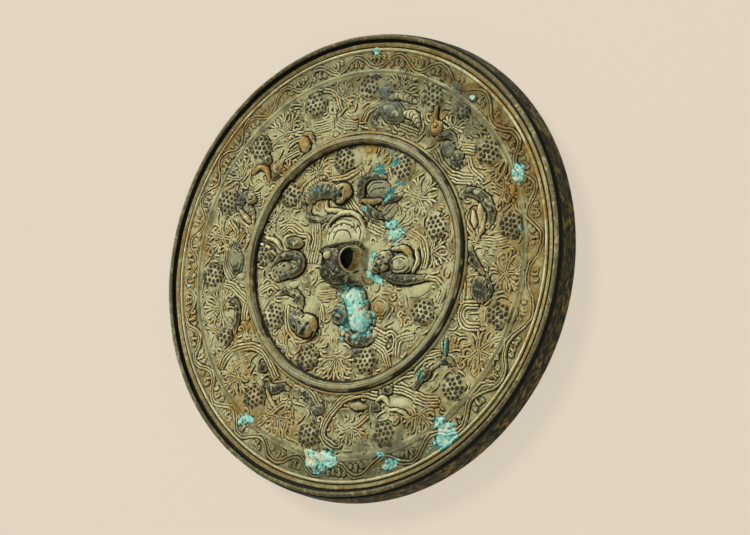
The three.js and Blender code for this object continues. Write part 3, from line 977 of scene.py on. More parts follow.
BIRDS = (
    Mass(-47.8, 27.4, 2.5, 2.4, 2, PATINA, 0, (0, 0.3)),
    Limb(((-54, 24.6), (-52.4, 28), (-48.6, 29.6)), 2.1, 1.7, METAL, hair=4),
    Limb(((-53, 23.6), (-50.2, 20.6), (-48, 18.4)), 1.2, 1.2),
    Limb(((-48.6, 24.6), (-46.8, 21.4), (-46.6, 18)), 1, 1, hair=4),
    Limb(((-48, 37.5), (-45, 39.6), (-42, 38.4), (-40.3, 34.6)), 1.2, 1.4, EARTH),
    Mass(-41.5, 41.8, 2, 2.4, 1.6, METAL, 20), Mass(-37.2, 38.4, 2.2, 2, 1.3, PALE, 0, (0.4, 0.2)),
    Limb(((-39.5, 33.8), (-36, 35.8), (-33.5, 37.8)), 0.9, 1, METAL),
    Mass(-24.4, 46.4, 3.6, 2.4, 1.8, EARTH, -70),
    Limb(((-26.5, 50), (-22.5, 50), (-20, 46.6)), 1, 1.3, EARTH, hair=3),
    Mass(14, 55, 6.8, 4, 1.7, METAL, -35, rings=2),
    Limb(((9, 57), (6, 52.5), (8.5, 49.6)), 1.2, 1.1, METAL),
    Limb(((19, 54), (23.5, 52.5), (26, 48.5)), 1.8, 1.2, PATINA, hair=6),
    Limb(((12, 60), (18, 60.5), (24, 57.5)), 1.6, 1.1, PATINA, hair=6),
    Limb(((33.6, 55), (33.2, 51), (34, 48)), 0.9, 1.4, EARTH),
    Mass(34, 46.5, 2.7, 2.9, 1.9, EARTH, 0, (0, 1)),
    Limb(((34, 43), (38.5, 43.8), (41.5, 41.8)), 1.6, 1.6, METAL), Mass(39, 38.4, 2.6, 3.2, 1.3, METAL, 30),
    Limb(((40.5, 36.4), (42, 32.6), (46.4, 33.2)), 1.4, 1.5, METAL, hair=4),
    Mass(43, 35.6, 2.6, 2.2, 1.7, METAL),
    Limb(((43, 20.6), (49, 22), (55, 19), (58, 13.2), (56.4, 8.8)), 1.9, 2.1, METAL, (0.4, 0.5), hair=8),
    Mass(50.5, 12, 1.4, 4.4, 1.2, PALE, 8, rings=1), Mass(53.6, 13, 1.5, 4.6, 1.4, PATINA, 6),
    Limb(((55, 14), (54.6, 9), (52, 4)), 0.9, 1.1), Mass(50.8, -2.6, 1.8, 1.6, 1.6, METAL, 0, (0, 0)),
    Limb(((49.5, 2.5), (51.8, -3), (55.2, -7.6)), 1.2, 1.7, METAL), Mass(54.4, -13, 3.6, 5, 1.8, METAL, 14),
    Ribbon(((55.2, -8.8), (53, -17.5)), 5, 1.15, 0.9, True),
    Limb(((57, -9), (58.6, -13.4), (56.6, -17.4)), 0.8, 1.6, METAL),
    Limb(((41.5, -29), (41, -34), (40.6, -38)), 0.8, 1.3, METAL),
    Limb(((38.6, -38.4), (42, -37.6), (44.8, -39.2)), 1.3, 1.6, METAL),
    Mass(33.6, -42.2, 2.4, 1.8, 1.7, METAL, 40),
    Limb(((38.6, -38.8), (34, -41.6), (30, -46.4), (29.2, -49)), 0.9, 1.5, METAL),
    Mass(17.8, -47.4, 2.2, 1.8, 1.6, METAL, 10, (-0.3, 0.2)),
    Limb(((13, -51.4), (16, -50), (19, -52.6)), 1.1, 1), Mass(23, -52, 5, 2.4, 0.9, PALE, -5),
    Limb(((19, -54.4), (24, -54.8), (28, -57.8)), 0.8, 0.9),
    Mass(5.8, -52.8, 4, 2, 1.4, PATINA, -5, rings=1), Mass(13.4, -53.4, 2, 1.7, 1.3, METAL),
    Mass(-38, -37.4, 2.4, 1.6, 1.6, METAL),
    Limb(((-36.5, -42.5), (-33, -45.6), (-28.6, -44.6), (-26, -45.8)), 1.7, 1.9, METAL, hair=4),
    Mass(-35.8, -43, 1.8, 1.8, 1.9, METAL, 0, (0, 0.2)),
    Limb(((-35.6, -46), (-34, -49), (-30.5, -53)), 0.9, 1),
    Limb(((-22, -46), (-17, -48.5), (-13.6, -53.5)), 1.5, 1.2, METAL, hair=4),
    Mass(-12, -53.4, 2.6, 2.2, 1.2, METAL),
    Limb(((-55, -11.6), (-52.4, -12.6), (-51.2, -17), (-52.2, -24)), 1.4, 1.9, METAL),
    Mass(-53.6, -12, 1.8, 1.4, 1.8, METAL), Mass(-54, 4, 3.6, 5.4, 1.4, PATINA, 12, rings=2),
    Limb(((-57.6, 8.6), (-56, 11.6), (-52, 9.6)), 1.1, 1.3, METAL),
    Mass(-53.4, 1, 1.6, 2.4, 1.8, METAL, 20), Mass(-51, -2, 2.4, 1.6, 0.9, PALE),
    Limb(((64, 17), (66.2, 21), (63.5, 24)), 1.1, 1.1, EARTH),
    Limb(((59, 24.5), (62, 27.5), (63, 31.5)), 0.9, 1, EARTH), Mass(10.8, 63.4, 3.4, 3.8, 1, METAL, 20),
    Mass(41, 61, 3, 2, 0.7, METAL, -45),
)

# Where the surface is rubbed smooth, earthy, darker, lighter, greyed or crusted with turquoise.
RUBBED = many(
    Stain,
    (14, 57, 8, 7, -30), (42, 57, 9, 5, -45, 0.9), (22, -67.5, 12, 2.5, 8), (30, -12.5, 8, 4.5, 10),
    (-17, -14.5, 3.5, 4.5, 0), (0, 41, 4, 4.5, 0, 0.8), (17, 18, 4.5, 3.5, 30), (-4, 12, 11, 7, 0),
    (-42, 51, 5, 4, -40, 0.8), (10, -67.5, 10, 2.2, -3), (34, -45, 5, 3.5, 0, 0.9),
    (-50, -33, 5, 3, 20, 0.7), (-45, 36, 3.6, 3, 0, 0.9), (24, -52.5, 6, 2.6, -5, 0.7),
    (-52, 3, 4, 6, 0, 0.6), (60, -31, 5, 3, 30, 0.5),
)
EARTHY = (
    *many(
        Sweep,
        (214, 252, 57, 70.5, 0.6), (-22, 32, 60, 71, 0.6), (-20, 60, 72, 80, 0.7), (70, 90, 72, 80, 0.7),
        (170, 200, 72, 80, 0.5), (305, 350, 57, 71, 0.45),
    ),
    *many(
        Stain,
        (65, 21, 5, 9, 15), (34, 48, 3.6, 7, 0), (5, 42, 5, 3, -10), (-25, 46, 3, 4, 0),
        (-30, 35, 4, 12, 52, 0.9), (27, 78, 24, 3, -22), (58, 57, 26, 2.6, -46), (75, 28, 3, 26, 18),
        (-17, 24, 9, 3, 0, 0.6), (-58, 53, 14, 3.5, 42, 0.8), (-44, 62, 14, 3, 35, 0.7),
        (-44, -22, 3, 14, 62, 0.8), (-45, 0, 2, 12, 0, 0.8), (44, -33, 4, 3, 0, 0.8),
        (48, -39, 6, 2.5, -10, 0.7), (-47, -53, 9, 4, -35, 0.8), (-64, -40, 5, 9, 35, 0.5),
        (27, -58, 8, 4, 0, 0.6), (70, -20, 4, 12, 5, 0.6), (47, 60, 5, 3, -45, 0.8),
        (62, -24, 6, 5, 0, 0.7), (41, -60, 8, 3, 30, 0.4), (-15, -66, 5, 2.5, 0, 0.9),
        (-2, 69, 3, 4, 0, 0.6), (12, -18, 4, 4, 0, 0.7), (-70, 14, 3, 12, 10, 0.7), (-74, -2, 3, 8, 0, 0.6),
        (53, 48, 8, 4, -40, 0.5), (26, 8, 4, 5, 0, 0.4),
    ),
)
SHADED = many(
    Sweep,
    (-14, 70, 72, 80, 0.85), (70, 150, 72, 80, 0.5), (240, 346, 72, 80, 0.5), (-5, 110, 62, 71.5, 0.4),
    (245, 310, 63, 71, 0.3), (45, 75, 49, 57, 0.6), (130, 150, 49, 56, 0.2), (215, 270, 49, 56, 0.25),
    (250, 300, 72, 80, 0.75),
)
LIGHTENED = many(
    Sweep,
    (106, 204, 55.5, 71.5, 0.75), (215, 250, 55.5, 71.5, 0.8), (-12, 30, 49.5, 62, 0.5),
    (330, 350, 49.5, 70, 0.6), (175, 210, 72, 79.5, 0.3), (-15, 10, 72, 79.5, 0.4),
)
GREYED = (
    *many(
        Sweep,
        (252, 300, 72, 80, 0.8), (50, 100, 63, 71, 0.5), (262, 290, 64, 71, 0.5), (50, 100, 49, 56, 0.3),
    ),
    *many(
        Stain,
        (9.5, 26.5, 7, 6, -12, 0.9), (14, 18, 6, 4, 35, 0.4), (18, -4, 8, 6, 0, 0.35), (14, 58, 9, 8, -30),
        (43, 56, 11, 5, -45), (20, -69, 18, 3, 10), (50, 46, 9, 6, -45, 0.8), (41, -45, 14, 3, 45, 0.5),
        (60, -12, 2.5, 12, 0, 0.5), (-12, -53, 5, 4, 0, 0.7), (-50, 25, 7, 5, 0, 0.7),
        (-53, 4, 6, 7, 0, 0.7), (-74, -30, 4, 18, 28, 0.5), (-30, 0, 8, 6, 0, 0.6), (-17, 27, 7, 3, 0, 0.7),
        (6, -53, 9, 3, 0, 0.6), (-70, 28, 3, 10, 20, 0.5), (28, -40, 6, 3, 30, 0.3), (40, 36, 6, 6, 0, 0.8),
    ),
)
CRUSTS = many(
    Stain,
    (6, 79.3, 1.5, 2, 20), (48.2, 56.3, 1.5, 1.2, 0), (68.2, 26.8, 2.4, 4.2, 15), (69.8, 7.2, 0.5, 1.8, 35),
    (10, 33.2, 3.2, 2.4, 0, 0.6), (15.4, 39.6, 1.8, 1.2, 20, 0.45), (18.6, 27.8, 2.6, 1, -10, 0.6),
    (15, 24.4, 1.9, 3.6, -35, 0.6), (4.4, 19.6, 1.4, 1.4, 0, 0.8), (16.2, 12.9, 3.2, 1.9, 5),
    (18.2, 9, 4.6, 2.3, 15), (18.5, 5.2, 1, 1.1, 0), (8.2, -0.8, 1.9, 5.4, -8), (11.6, -7, 4.6, 1.8, -28),
    (1.2, -13, 6.8, 5.2, -35), (2.8, -17.2, 6.6, 5.2, -35), (4.2, -21.4, 7.6, 6.6, -30),
    (0, -23.2, 4.2, 2.6, 10, 0.8), (-3, -28, 1.5, 1.8, 20), (-46.2, -57, 2.6, 1.9, 40),
    (-42.8, -56.6, 2.8, 1.4, -30), (-12, -71.4, 5.6, 4, -10), (-6.6, -72.2, 5.2, 3.4, -12),
    (-9, -74.6, 3, 2.4, 0, 0.8), (16.2, -70.2, 1.7, 1.4, 15, 0.8), (19.8, -73.8, 4.4, 1.9, 15, 0.85),
    (42.6, -63.6, 7.2, 5.6, 32), (-75.8, -4.4, 0.7, 0.6, 0), (31.5, -42.6, 2.4, 2.4, 30, 0.35),
    (41.4, -33, 0.9, 3.6, 0, 0.35), (-17, 28.2, 1.4, 1, 0, 0.4), (17, 35.4, 3, 2.6, 0, 0.35),
    (-5.2, -68.6, 1.2, 0.5, 0, 0.7), (36, -68.8, 1.6, 0.7, 25, 0.5),
)


@dataclass
class Tracery:
    """The small hooks, commas and dots that crowd every place that the larger work leaves free."""

    gap: float = 0.62  # kept free round each stroke
    rounds: tuple[tuple[float, float, int], ...] = (  # length, half width and tries of each round
        (4.6, 0.48, 1800), (3.2, 0.46, 3500), (1.9, 0.44, 3500), (0.7, 0.5, 1500),
    )
    fields: tuple[Point, ...] = ((9.0, 43.0), (49.2, 69.9))  # the radii between which it is free
    inner_share: float = 0.28  # of the strokes that are tried in the inner field
    pricks: int = 2600

    def model(self, relief: Relief, rng: np.random.Generator) -> None:
        """Lays strokes of every length where there is room, along the work beside them.

        Args:
            relief: The relief to work.
            rng: The source of chance.
        """
        solid = (relief.low > 0.06) | (relief.tall > 0.12)
        near = relief.blur(solid.astype(np.float32), 0.3) > 0.22
        forms = relief.tall > 0.12
        lean_y, lean_x = np.gradient(relief.blur(solid.astype(np.float32), 1.1))
        for length, half, tries in self.rounds:
            inner = rng.random(tries) < self.inner_share
            low = np.where(inner, self.fields[0][0], self.fields[1][0])
            high = np.where(inner, self.fields[0][1], self.fields[1][1])
            radius = np.sqrt(low**2 + (high**2 - low**2) * rng.random(tries))
            angle = rng.random(tries) * 2 * np.pi
            xs, ys = radius * np.cos(angle), radius * np.sin(angle)
            turn, bend = rng.normal(0, 26, tries), rng.normal(0, 75, tries)
            for x, y, skew, bow in zip(xs, ys, turn, bend):
                iy, ix = int((y + relief.reach) / relief.step), int((x + relief.reach) / relief.step)
                if near[iy, ix]:
                    continue
                course = math.degrees(math.atan2(lean_x[iy, ix], -lean_y[iy, ix])) + skew
                self._comma(relief, near, (x, y), course, length, half, bow)
        self._prick(relief, forms | (relief.low > 0.3), rng)

    def _prick(self, relief: Relief, near: Array, rng: np.random.Generator) -> None:
        """Sinks small dark commas in the open ground.

        Args:
            relief: The relief to work.
            near: Where the ground isn't open.
            rng: The source of chance.
        """
        radius = np.sqrt(rng.uniform(9**2, 70**2, self.pricks))
        turns = rng.uniform(0, 360, (self.pricks, 2))
        for far, (angle, course) in zip(radius, turns):
            x, y = turned(0, 0, angle, far)
            if near[int((y + relief.reach) / relief.step), int((x + relief.reach) / relief.step)]:
                continue
            reach = rng.uniform(0.1, 0.9)
            line = ((x, y), turned(x, y, course, 0.5 * reach, 0.12), turned(x, y, course, reach))
            relief.detail(line, rng.uniform(0.24, 0.4), -0.3)

    def _comma(self, relief: Relief, near: Array, at: Point, course: float, length: float,
               half: float, bow: float) -> None:
        """Lays one curved stroke if nothing is in its way, and keeps others off it.

        Args:
            relief: The relief to work.
            near: Where other work leaves no room, which the stroke is added to.
            at: The stroke's middle.
            course: Its direction, in degrees.
            length: Its length.
            half: Half its width.
            bow: How far it turns along its length, in degrees.
        """
        line = [turned(*at, course, -0.35 * length)]
        for share in (0.0, 0.3, 0.6, 1.0):
            line.append(turned(*line[-1], course + bow * share**1.5, 0.25 * length))
        line = np.array(line)
        radius = np.hypot(line[:, 0], line[:, 1])
        if not any(low < radius.min() and radius.max() < high for low, high in self.fields):
            return
        places = ((line + relief.reach) / relief.step).astype(int)
        if near[places[:, 1], places[:, 0]].any():
            return
        size = np.array([0.75, 1, 1, 0.95, 0.6]) * (0.72 + 0.4 * abs(math.sin(7 * at[0] + 5 * at[1])))
        line = smooth_line(line, 0.35)
        size = np.interp(np.linspace(0, 4, len(line)), range(5), size)
        part, swept = relief.trace(line, half * size, size, 0.65)
        np.maximum(relief.low[part], 0.48 * swept, out=relief.low[part])
        # painted shadow: a dark cut offset to the lower right of two strokes in three, on the side away from
        # the key light
        if int(10 * (at[0] + at[1])) % 3:
            relief.detail(line[1:] + np.array((0.3, -0.42)), 0.26, -0.26)
        part, swept = relief.trace(line, (half * size + self.gap), size, 0.5)
        near[part] |= swept > 0


@dataclass
class VineBand:
    """The scroll of doubled vine that winds round between the two thin lines."""

    radius: float = 75.6
    swing: float = 2.5
    strand: float = 0.52  # from the scroll's middle to each of its two lines
    leaf_gap: float = 1.55  # between the leaves of a bay, in degrees
    curl: float = 62.0  # how far a leaf turns at each step, in degrees
    curl_step: float = 0.56
    crests: tuple[float, ...] = (
        3, 17, 31, 47, 63.5, 78, 92, 105, 117.5, 132, 145, 157.5, 170.5, 182, 193.5, 205.5, 219,
        232.5, 247, 261, 274.5, 292, 308, 324.5, 343,
    )

    wave_steps: int = 16

    def waves(self) -> list[Point]:
        """The angle of each crest and of the one after it."""
        return list(zip(self.crests, (*self.crests[1:], self.crests[0] + 360)))

    def winding(self) -> list[Point]:
        """Follows the scroll's middle once round.

        Returns:
            The angle and the radius of its points.
        """
        points = []
        for crest, after in self.waves():
            for step in range(self.wave_steps):
                share = step / self.wave_steps
                wave = math.cos(2 * math.pi * share)
                wave = math.copysign(abs(wave) ** 0.85, wave)
                points.append((crest + (after - crest) * share, self.radius + self.swing * wave))
        points.append((self.crests[0] + 360, points[0][1]))
        return points

    def model(self, relief: Relief, rng: np.random.Generator) -> None:
        """Lays both lines of the vine, and the small leaves in each of its bays.

        Args:
            relief: The relief to work.
            rng: The source of chance.
        """
        middle = [turned(0, 0, angle, radius) for angle, radius in self.winding()]
        part, swept = relief.trace(np.array(middle), np.full(len(middle), 0.24), np.ones(len(middle)), 0.8)
        relief.dark[part] = np.maximum(relief.dark[part], 0.7 * swept)
        for side in (-1, 1):
            line = np.array(side_line(middle, side * self.strand))
            worn = 0.75 + 0.25 * np.sin(np.arange(len(line)) / 23.0 + side)
            part, swept = relief.trace(line, 0.4 * worn + 0.06, worn, 0.6)
            np.maximum(relief.low[part], 0.62 * swept, out=relief.low[part])
        for crest, after in self.waves():
            self._bay(relief, rng, crest, -1)
            self._bay(relief, rng, (crest + after) / 2, 1)

    def _bay(self, relief: Relief, rng: np.random.Generator, angle: float, side: int) -> None:
        """Fills one bay with three or four small hooked leaves that grow from the vine.

        Args:
            relief: The relief to work.
            rng: The source of chance.
            angle: The direction of the bay's middle.
            side: 1 where it opens outwards, -1 where it opens inwards.
        """
        count = 4 if rng.random() < 0.4 else 3
        for k in range(count):
            at = angle + (k - (count - 1) / 2) * self.leaf_gap + rng.normal(0, 0.2)
            middle = 1 - abs(2 * k / (count - 1) - 1)
            foot = turned(0, 0, at, self.radius + side * (0.5 - 1.3 * middle))
            reach = rng.uniform(0.9, 1.3) + 0.9 * middle
            hand = 1 if k < count / 2 else -1
            outward = at + (0 if side > 0 else 180)
            hook = [turned(*foot, outward - 12 * hand, reach)]
            for step in range(1, 5):
                hook.append(turned(*hook[-1], outward + self.curl * hand * step, self.curl_step))
            relief.stroke((foot, *hook), 0.5, 0.6, tip=0.9)
            relief.detail([turned(*foot, outward + 40 * hand, 0.8), *hook[2:4]], 0.3, -0.4)


@dataclass(frozen=True)
class Ground:
    """The turned form under the relief: two fields between a ridge ring, a divider and a line."""

    outline: tuple[Point, ...] = (  # radius, and height over the floor
        (0, 0), (42.6, 0), (43.3, 0.12), (43.9, 0.5), (44.5, 1.55), (44.85, 2.15), (45.15, 1.95),
        (45.4, 2.55), (45.7, 2.6), (46.2, 2.42), (46.65, 2.45), (46.95, 1.8), (47.25, 1.7), (47.5, 1.05),
        (47.8, 0.72), (48.1, 0.8), (48.45, 0.62), (48.75, 0.22), (49.1, 0.1), (49.6, 0), (69.4, 0),
        (69.9, 0.2), (70.5, 0.42), (71.2, 0.55), (71.8, 0.5), (72.2, 0.3), (72.6, 0), (78.9, 0),
        (79.2, 0.12), (79.5, 0.45), (79.8, 0.56), (80.1, 0.42), (80.4, 0.02), (80.7, -0.12), (81, 0.02),
        (90, 0.02),
    )

    def height(self, radius: Array) -> Array:
        """Height over the floor at a radius."""
        reach, rise = zip(*self.outline)
        return np.interp(radius, reach, rise).astype(np.float32)


@dataclass
class CastBack:
    """The whole decorated back: ground, relief, wear and crust, ready to be sampled."""

    ground: Ground = field(default_factory=Ground)
    seed: int = 7
    fields: tuple[Point, ...] = ((-1, 43.5), (48.9, 70.6), (71.9, 79.2))  # where the drawing is free
    divider: float = 71.2  # radius of the line between the outer field and the vine band
    ring: float = 45.8  # radius of the ridge ring's crest
    cuts: tuple[Place, ...] = (  # radius, half width and darkness of each dark line on the ring
        (45.15, 0.2, 0.8), (46.95, 0.2, 0.8), (44.25, 0.4, 0.7), (47.4, 0.34, 0.8),
    )

    def model(self) -> Relief:
        """Models the relief, then ages it, and works out where each finish shows.

        Returns:
            The finished relief.
        """
        relief = Relief()
        rng = np.random.default_rng(self.seed)
        for motif in (*BUNCHES, *LEAVES, *RIBBONS, *CURLS, *BEASTS, *BIRDS, VineBand(), Tracery()):
            motif.model(relief, rng)
        log.info("modelled the relief")
        self._age(relief)
        return relief

    def _age(self, relief: Relief) -> None:
        """Rubs, pits and crusts the relief, and fills in the layers that the finishes read.

        Args:
            relief: The relief as it was drawn.
        """
        rubbed, relief.earthy, relief.greyed, shaded, lightened, relief.crust = self._covers(relief)
        line = np.clip(1.5 - np.abs(relief.radius() - self.divider) / 0.5, 0, 1).astype(np.float32)
        relief.shade = np.maximum(shaded - lightened, 0.6 * line)
        self._soften_drawing(relief)
        wear = layered_noise(relief.low.shape, 60, 3, seed=23)
        body = self._worn_height(relief, rubbed, wear)
        self._mark_turned_lines(relief, wear)
        self._lay_earth_and_shade(relief, body)
        relief.body = relief.blur(body, 0.07)
        relief.crest = np.clip((relief.body - relief.blur(relief.body, 0.42)) / 0.16, -1.5, 1.5)

    def _covers(self, relief: Relief) -> list[Array]:
        """Works out how far each kind of stain covers the back.

        Args:
            relief: The relief that they lie on.

        Returns:
            One layer for each kind, from 0 to 1.
        """
        shape = relief.low.shape
        ragged = 0.5 * layered_noise(shape, 40, 3, seed=11) + 0.5 * layered_noise(shape, 11, 3, seed=17)
        kinds = ((RUBBED, 0.25), (EARTHY, 0.4), (GREYED, 0.35), (SHADED, 0.6), (LIGHTENED, 0.6), (CRUSTS, 0.3))
        covers = []
        for stains, limit in kinds:
            cover = np.zeros(shape, np.float32)
            for stain in stains:
                part, share = stain.cover(relief, ragged)
                share = np.clip(share / limit, 0, 1) * stain.strength
                cover[part] = np.maximum(cover[part], share)
            covers.append(cover)
        return covers

    def _soften_drawing(self, relief: Relief) -> None:
        """Makes the lines waver as a hand-cut mould's do, and keeps them off the turned rings.

        Args:
            relief: The relief as it was drawn.
        """
        shape = relief.low.shape
        xs, ys = np.meshgrid(relief.axis, relief.axis)
        xs = xs + 0.36 * layered_noise(shape, 24, 2, seed=101) + 0.12 * layered_noise(shape, 7, 2, seed=107)
        ys = ys + 0.36 * layered_noise(shape, 24, 2, seed=103) + 0.12 * layered_noise(shape, 7, 2, seed=109)
        radius = relief.radius()
        free = np.zeros(shape, np.float32)
        for low, high in self.fields:
            free = np.maximum(free, np.clip(np.minimum(radius - low, high - radius) / 0.4 + 0.5, 0, 1))
        for name in DRAWN:
            layer = relief.sample(getattr(relief, name), xs, ys).astype(np.float32)
            setattr(relief, name, layer * free)

    def _worn_height(self, relief: Relief, rubbed: Array, wear: Array) -> Array:
        """Wears the drawing down, sinks the gaps beside it and paints shade dark in them, and lays the crust
        over it.

        Args:
            relief: The softened relief.
            rubbed: Where the surface is rubbed smooth.
            wear: Noise for where the strokes are fuller or fainter.

        Returns:
            The height over the floor.
        """
        shape = relief.low.shape
        low = relief.low * np.clip(0.88 + 0.8 * wear, 0.25, 1.15) * (1 - 0.8 * rubbed)
        tall = np.minimum(relief.tall, 1.6 + 0.72 * (relief.tall - 1.6))
        tall = tall + 0.3 * np.clip(tall - 0.6, 0, 1) * layered_noise(shape, 15, 3, seed=37)
        form = np.maximum(low, relief.blur(tall, 0.12))
        form += relief.fine * (1 - 0.6 * rubbed)
        beside = relief.blur((relief.low > 0.12).astype(np.float32), 0.2)
        groove = np.exp(-(((beside - 0.3) / 0.14) ** 2)) * (relief.low < 0.3)
        groove *= np.clip(0.6 + 1.3 * layered_noise(shape, 24, 3, seed=131), 0, 1) * (1 - rubbed)
        # painted shade: the grooves beside the strokes are darkened as well as sunk
        relief.dark = np.maximum(relief.dark, (0.95 * groove).astype(np.float32))
        form -= 0.14 * groove
        body = self.ground.height(relief.radius()) + form
        body += 0.035 * layered_noise(shape, 9, 3, seed=41) + 0.05 * layered_noise(shape, 40, 2, seed=43)
        lumps = 0.5 + layered_noise(shape, 12, 3, seed=59)
        crusted = 0.55 * (relief.blur(body, 0.5) - body) + 0.12 + 0.2 * lumps
        return np.where(relief.crust > 0, body + relief.crust * crusted, body)

    def _mark_turned_lines(self, relief: Relief, wear: Array) -> None:
        """Greys the divider and the ridge ring, paints shade as dark metal on the ring's flanks, darkens the
        ring's cuts and greys the far sides.

        Args:
            relief: The softened relief.
            wear: Noise for where the marks are fuller or fainter.
        """
        radius = relief.radius()
        divider = np.clip(1.6 - np.abs(radius - self.divider) / 0.55, 0, 1) * np.clip(0.6 + 0.8 * wear, 0, 1)
        ring = np.clip(1.4 - np.abs(radius - self.ring) / 1.5, 0, 1)
        # painted shade and highlight: dark metal on both flanks of the ring, its crest left light
        slope = np.exp(-(((np.abs(radius - self.ring + 0.05) - 1.05) / 0.5) ** 2))
        relief.metal = np.maximum(relief.metal, np.maximum(0.2 * ring, 0.55 * slope))
        for line, wide, strength in self.cuts:
            cut = strength * np.exp(-(((radius - line) / wide) ** 2)) * np.clip(0.7 + 1.3 * wear, 0, 1)
            relief.dark = np.maximum(relief.dark, cut.astype(np.float32))
        high = np.clip((np.abs(relief.axis[:, None]) - 44) / 24, 0, 1) * np.clip(0.7 + wear, 0, 1)
        for cover in (divider, 0.55 * ring, 0.5 * high):
            relief.greyed = np.maximum(relief.greyed, cover.astype(np.float32))
        relief.pale *= 1 - ring

    def _lay_earth_and_shade(self, relief: Relief, body: Array) -> None:
        """Lays earth at the ridge ring's feet, and ochre as a painted shade where the relief falls off to the
        lower right, away from the key light.

        Args:
            relief: The softened relief.
            body: The height over the floor.
        """
        fall_y, fall_x = np.gradient(relief.blur(body, 0.12), relief.step)
        # painted shade: ochre on the slopes that face away from the key light
        lee_shade = np.clip((0.62 * fall_y - 0.78 * fall_x - 0.2) / 0.7, 0, 1)
        patches = np.clip(0.25 + 1.5 * layered_noise(relief.low.shape, 20, 3, seed=61), 0, 1)
        lee_shade = lee_shade * patches * (relief.crust == 0)
        radius = relief.radius()
        foot = np.exp(-(((radius - 43.7) / 0.5) ** 2)) + np.exp(-(((radius - 48.0) / 0.4) ** 2))
        for cover in (lee_shade, 0.9 * foot):
            relief.earth = np.maximum(relief.earth, cover.astype(np.float32))


# Meshes.

LOOKS = ("crest", "metal", "earth", "pale", "dark", "greyed", "crust", "wall", "shade")


@dataclass
class Surface:
    """Corners, faces and looks of one closed piece, gathered in millimetres."""

    corners: Array
    faces: list[list[int]]
    smooth: Array  # whether each face is part of the modelled surface
    looks: dict[str, Array]

    def to_object(self, name: str, origin: Vector) -> bpy.types.Object:
        """Makes the piece as a Blender object, in metres.

        Args:
            name: The piece's name.
            origin: Where the mirror's own origin stands, in metres.

        Returns:
            The object, linked to the scene.
        """
        mesh = bpy.data.meshes.new(name)
        mesh.from_pydata((self.corners * MM + np.array(origin)).tolist(), [], self.faces)
        mesh.polygons.foreach_set("use_smooth", self.smooth.astype(bool))
        for look in LOOKS:
            values = self.looks.get(look, np.zeros(len(self.corners)))
            layer = mesh.attributes.new(look, "FLOAT", "POINT")
            layer.data.foreach_set("value", np.ascontiguousarray(values, dtype=np.float32))
        mesh.update()
        piece = bpy.data.objects.new(name, mesh)
        bpy.context.scene.collection.objects.link(piece)
        log.info("%s: %d faces", name, len(self.faces))
        return piece


def relief_looks(relief: Relief, xs: Array, ys: Array, extra: int) -> dict[str, Array]:
    """What the finish needs at each corner of the relief, with nothing on the hidden ones.

    Args:
        relief: The finished relief.
        xs: The x of each corner of the modelled surface.
        ys: The y of each corner of the modelled surface.
        extra: How many hidden corners follow them.

    Returns:
        One array for each name in LOOKS.
    """
    layers = {
        "crest": relief.crest, "metal": relief.metal, "earth": np.maximum(relief.earth, relief.earthy),
        "pale": relief.pale, "dark": relief.dark, "greyed": relief.greyed, "crust": relief.crust,
        "shade": relief.shade,
    }
    hidden = np.zeros(extra)
    return {name: np.append(relief.sample(layer, xs, ys), hidden) for name, layer in layers.items()}


def band(low: Array, high: Array) -> Array:
    """The four-sided faces between two closed rings of corners."""
    return np.column_stack([low, high, np.roll(high, -1), np.roll(low, -1)])


def fan(ring: Array, pole: int) -> Array:
    """The triangles between a closed ring of corners and a single one."""
    return np.column_stack([ring, np.full(len(ring), pole), np.roll(ring, -1)])


def directions(count: int) -> Array:
    """Evenly spaced directions all round, in radians."""
    return np.arange(count) * (2 * np.pi / count) + np.pi / 4


@dataclass(frozen=True)
class FieldDisc:
    """The round inner field, a closed slab whose top is the relief."""

    radius: float
    cells: int
    base: float

    def build(self, relief: Relief, floor: float) -> Surface:
        """Lays a square net over the disc, lifts it to the relief and closes it below.

        Args:
            relief: The finished relief.
            floor: The height of the fields' floor.

        Returns:
            The piece's surface.
        """
        share = np.linspace(-1, 1, self.cells + 1)
        a, b = np.meshgrid(share, share)
        wide = np.abs(a) > np.abs(b)
        reach = np.where(wide, a, b)
        safe = np.where(reach == 0, 1, reach)
        angle = np.where(wide, b / safe, 2 - a / safe) * (np.pi / 4)
        xs = (reach * np.cos(angle) * self.radius).ravel()
        ys = (reach * np.sin(angle) * self.radius).ravel()
        top = np.column_stack([xs, ys, floor + relief.sample(relief.body, xs, ys)])
        side = self.cells + 1
        at = np.arange(side * side).reshape(side, side)
        quads = np.stack([at[:-1, :-1], at[:-1, 1:], at[1:, 1:], at[1:, :-1]], -1).reshape(-1, 4)
        edge = np.concatenate([at[0, :-1], at[:-1, -1], at[-1, :0:-1], at[:0:-1, 0]])
        foot = top[edge].copy()
        foot[:, 2] = self.base
        corners = np.vstack([top, foot, [[0, 0, self.base]]])
        count, first = len(edge), len(top)
        low = first + np.arange(count)
        faces = quads.tolist() + band(edge, low).tolist() + fan(low, first + count).tolist()
        smooth = np.append(np.ones(len(quads)), np.zeros(2 * count))
        return Surface(corners, faces, smooth, relief_looks(relief, xs, ys, count + 1))


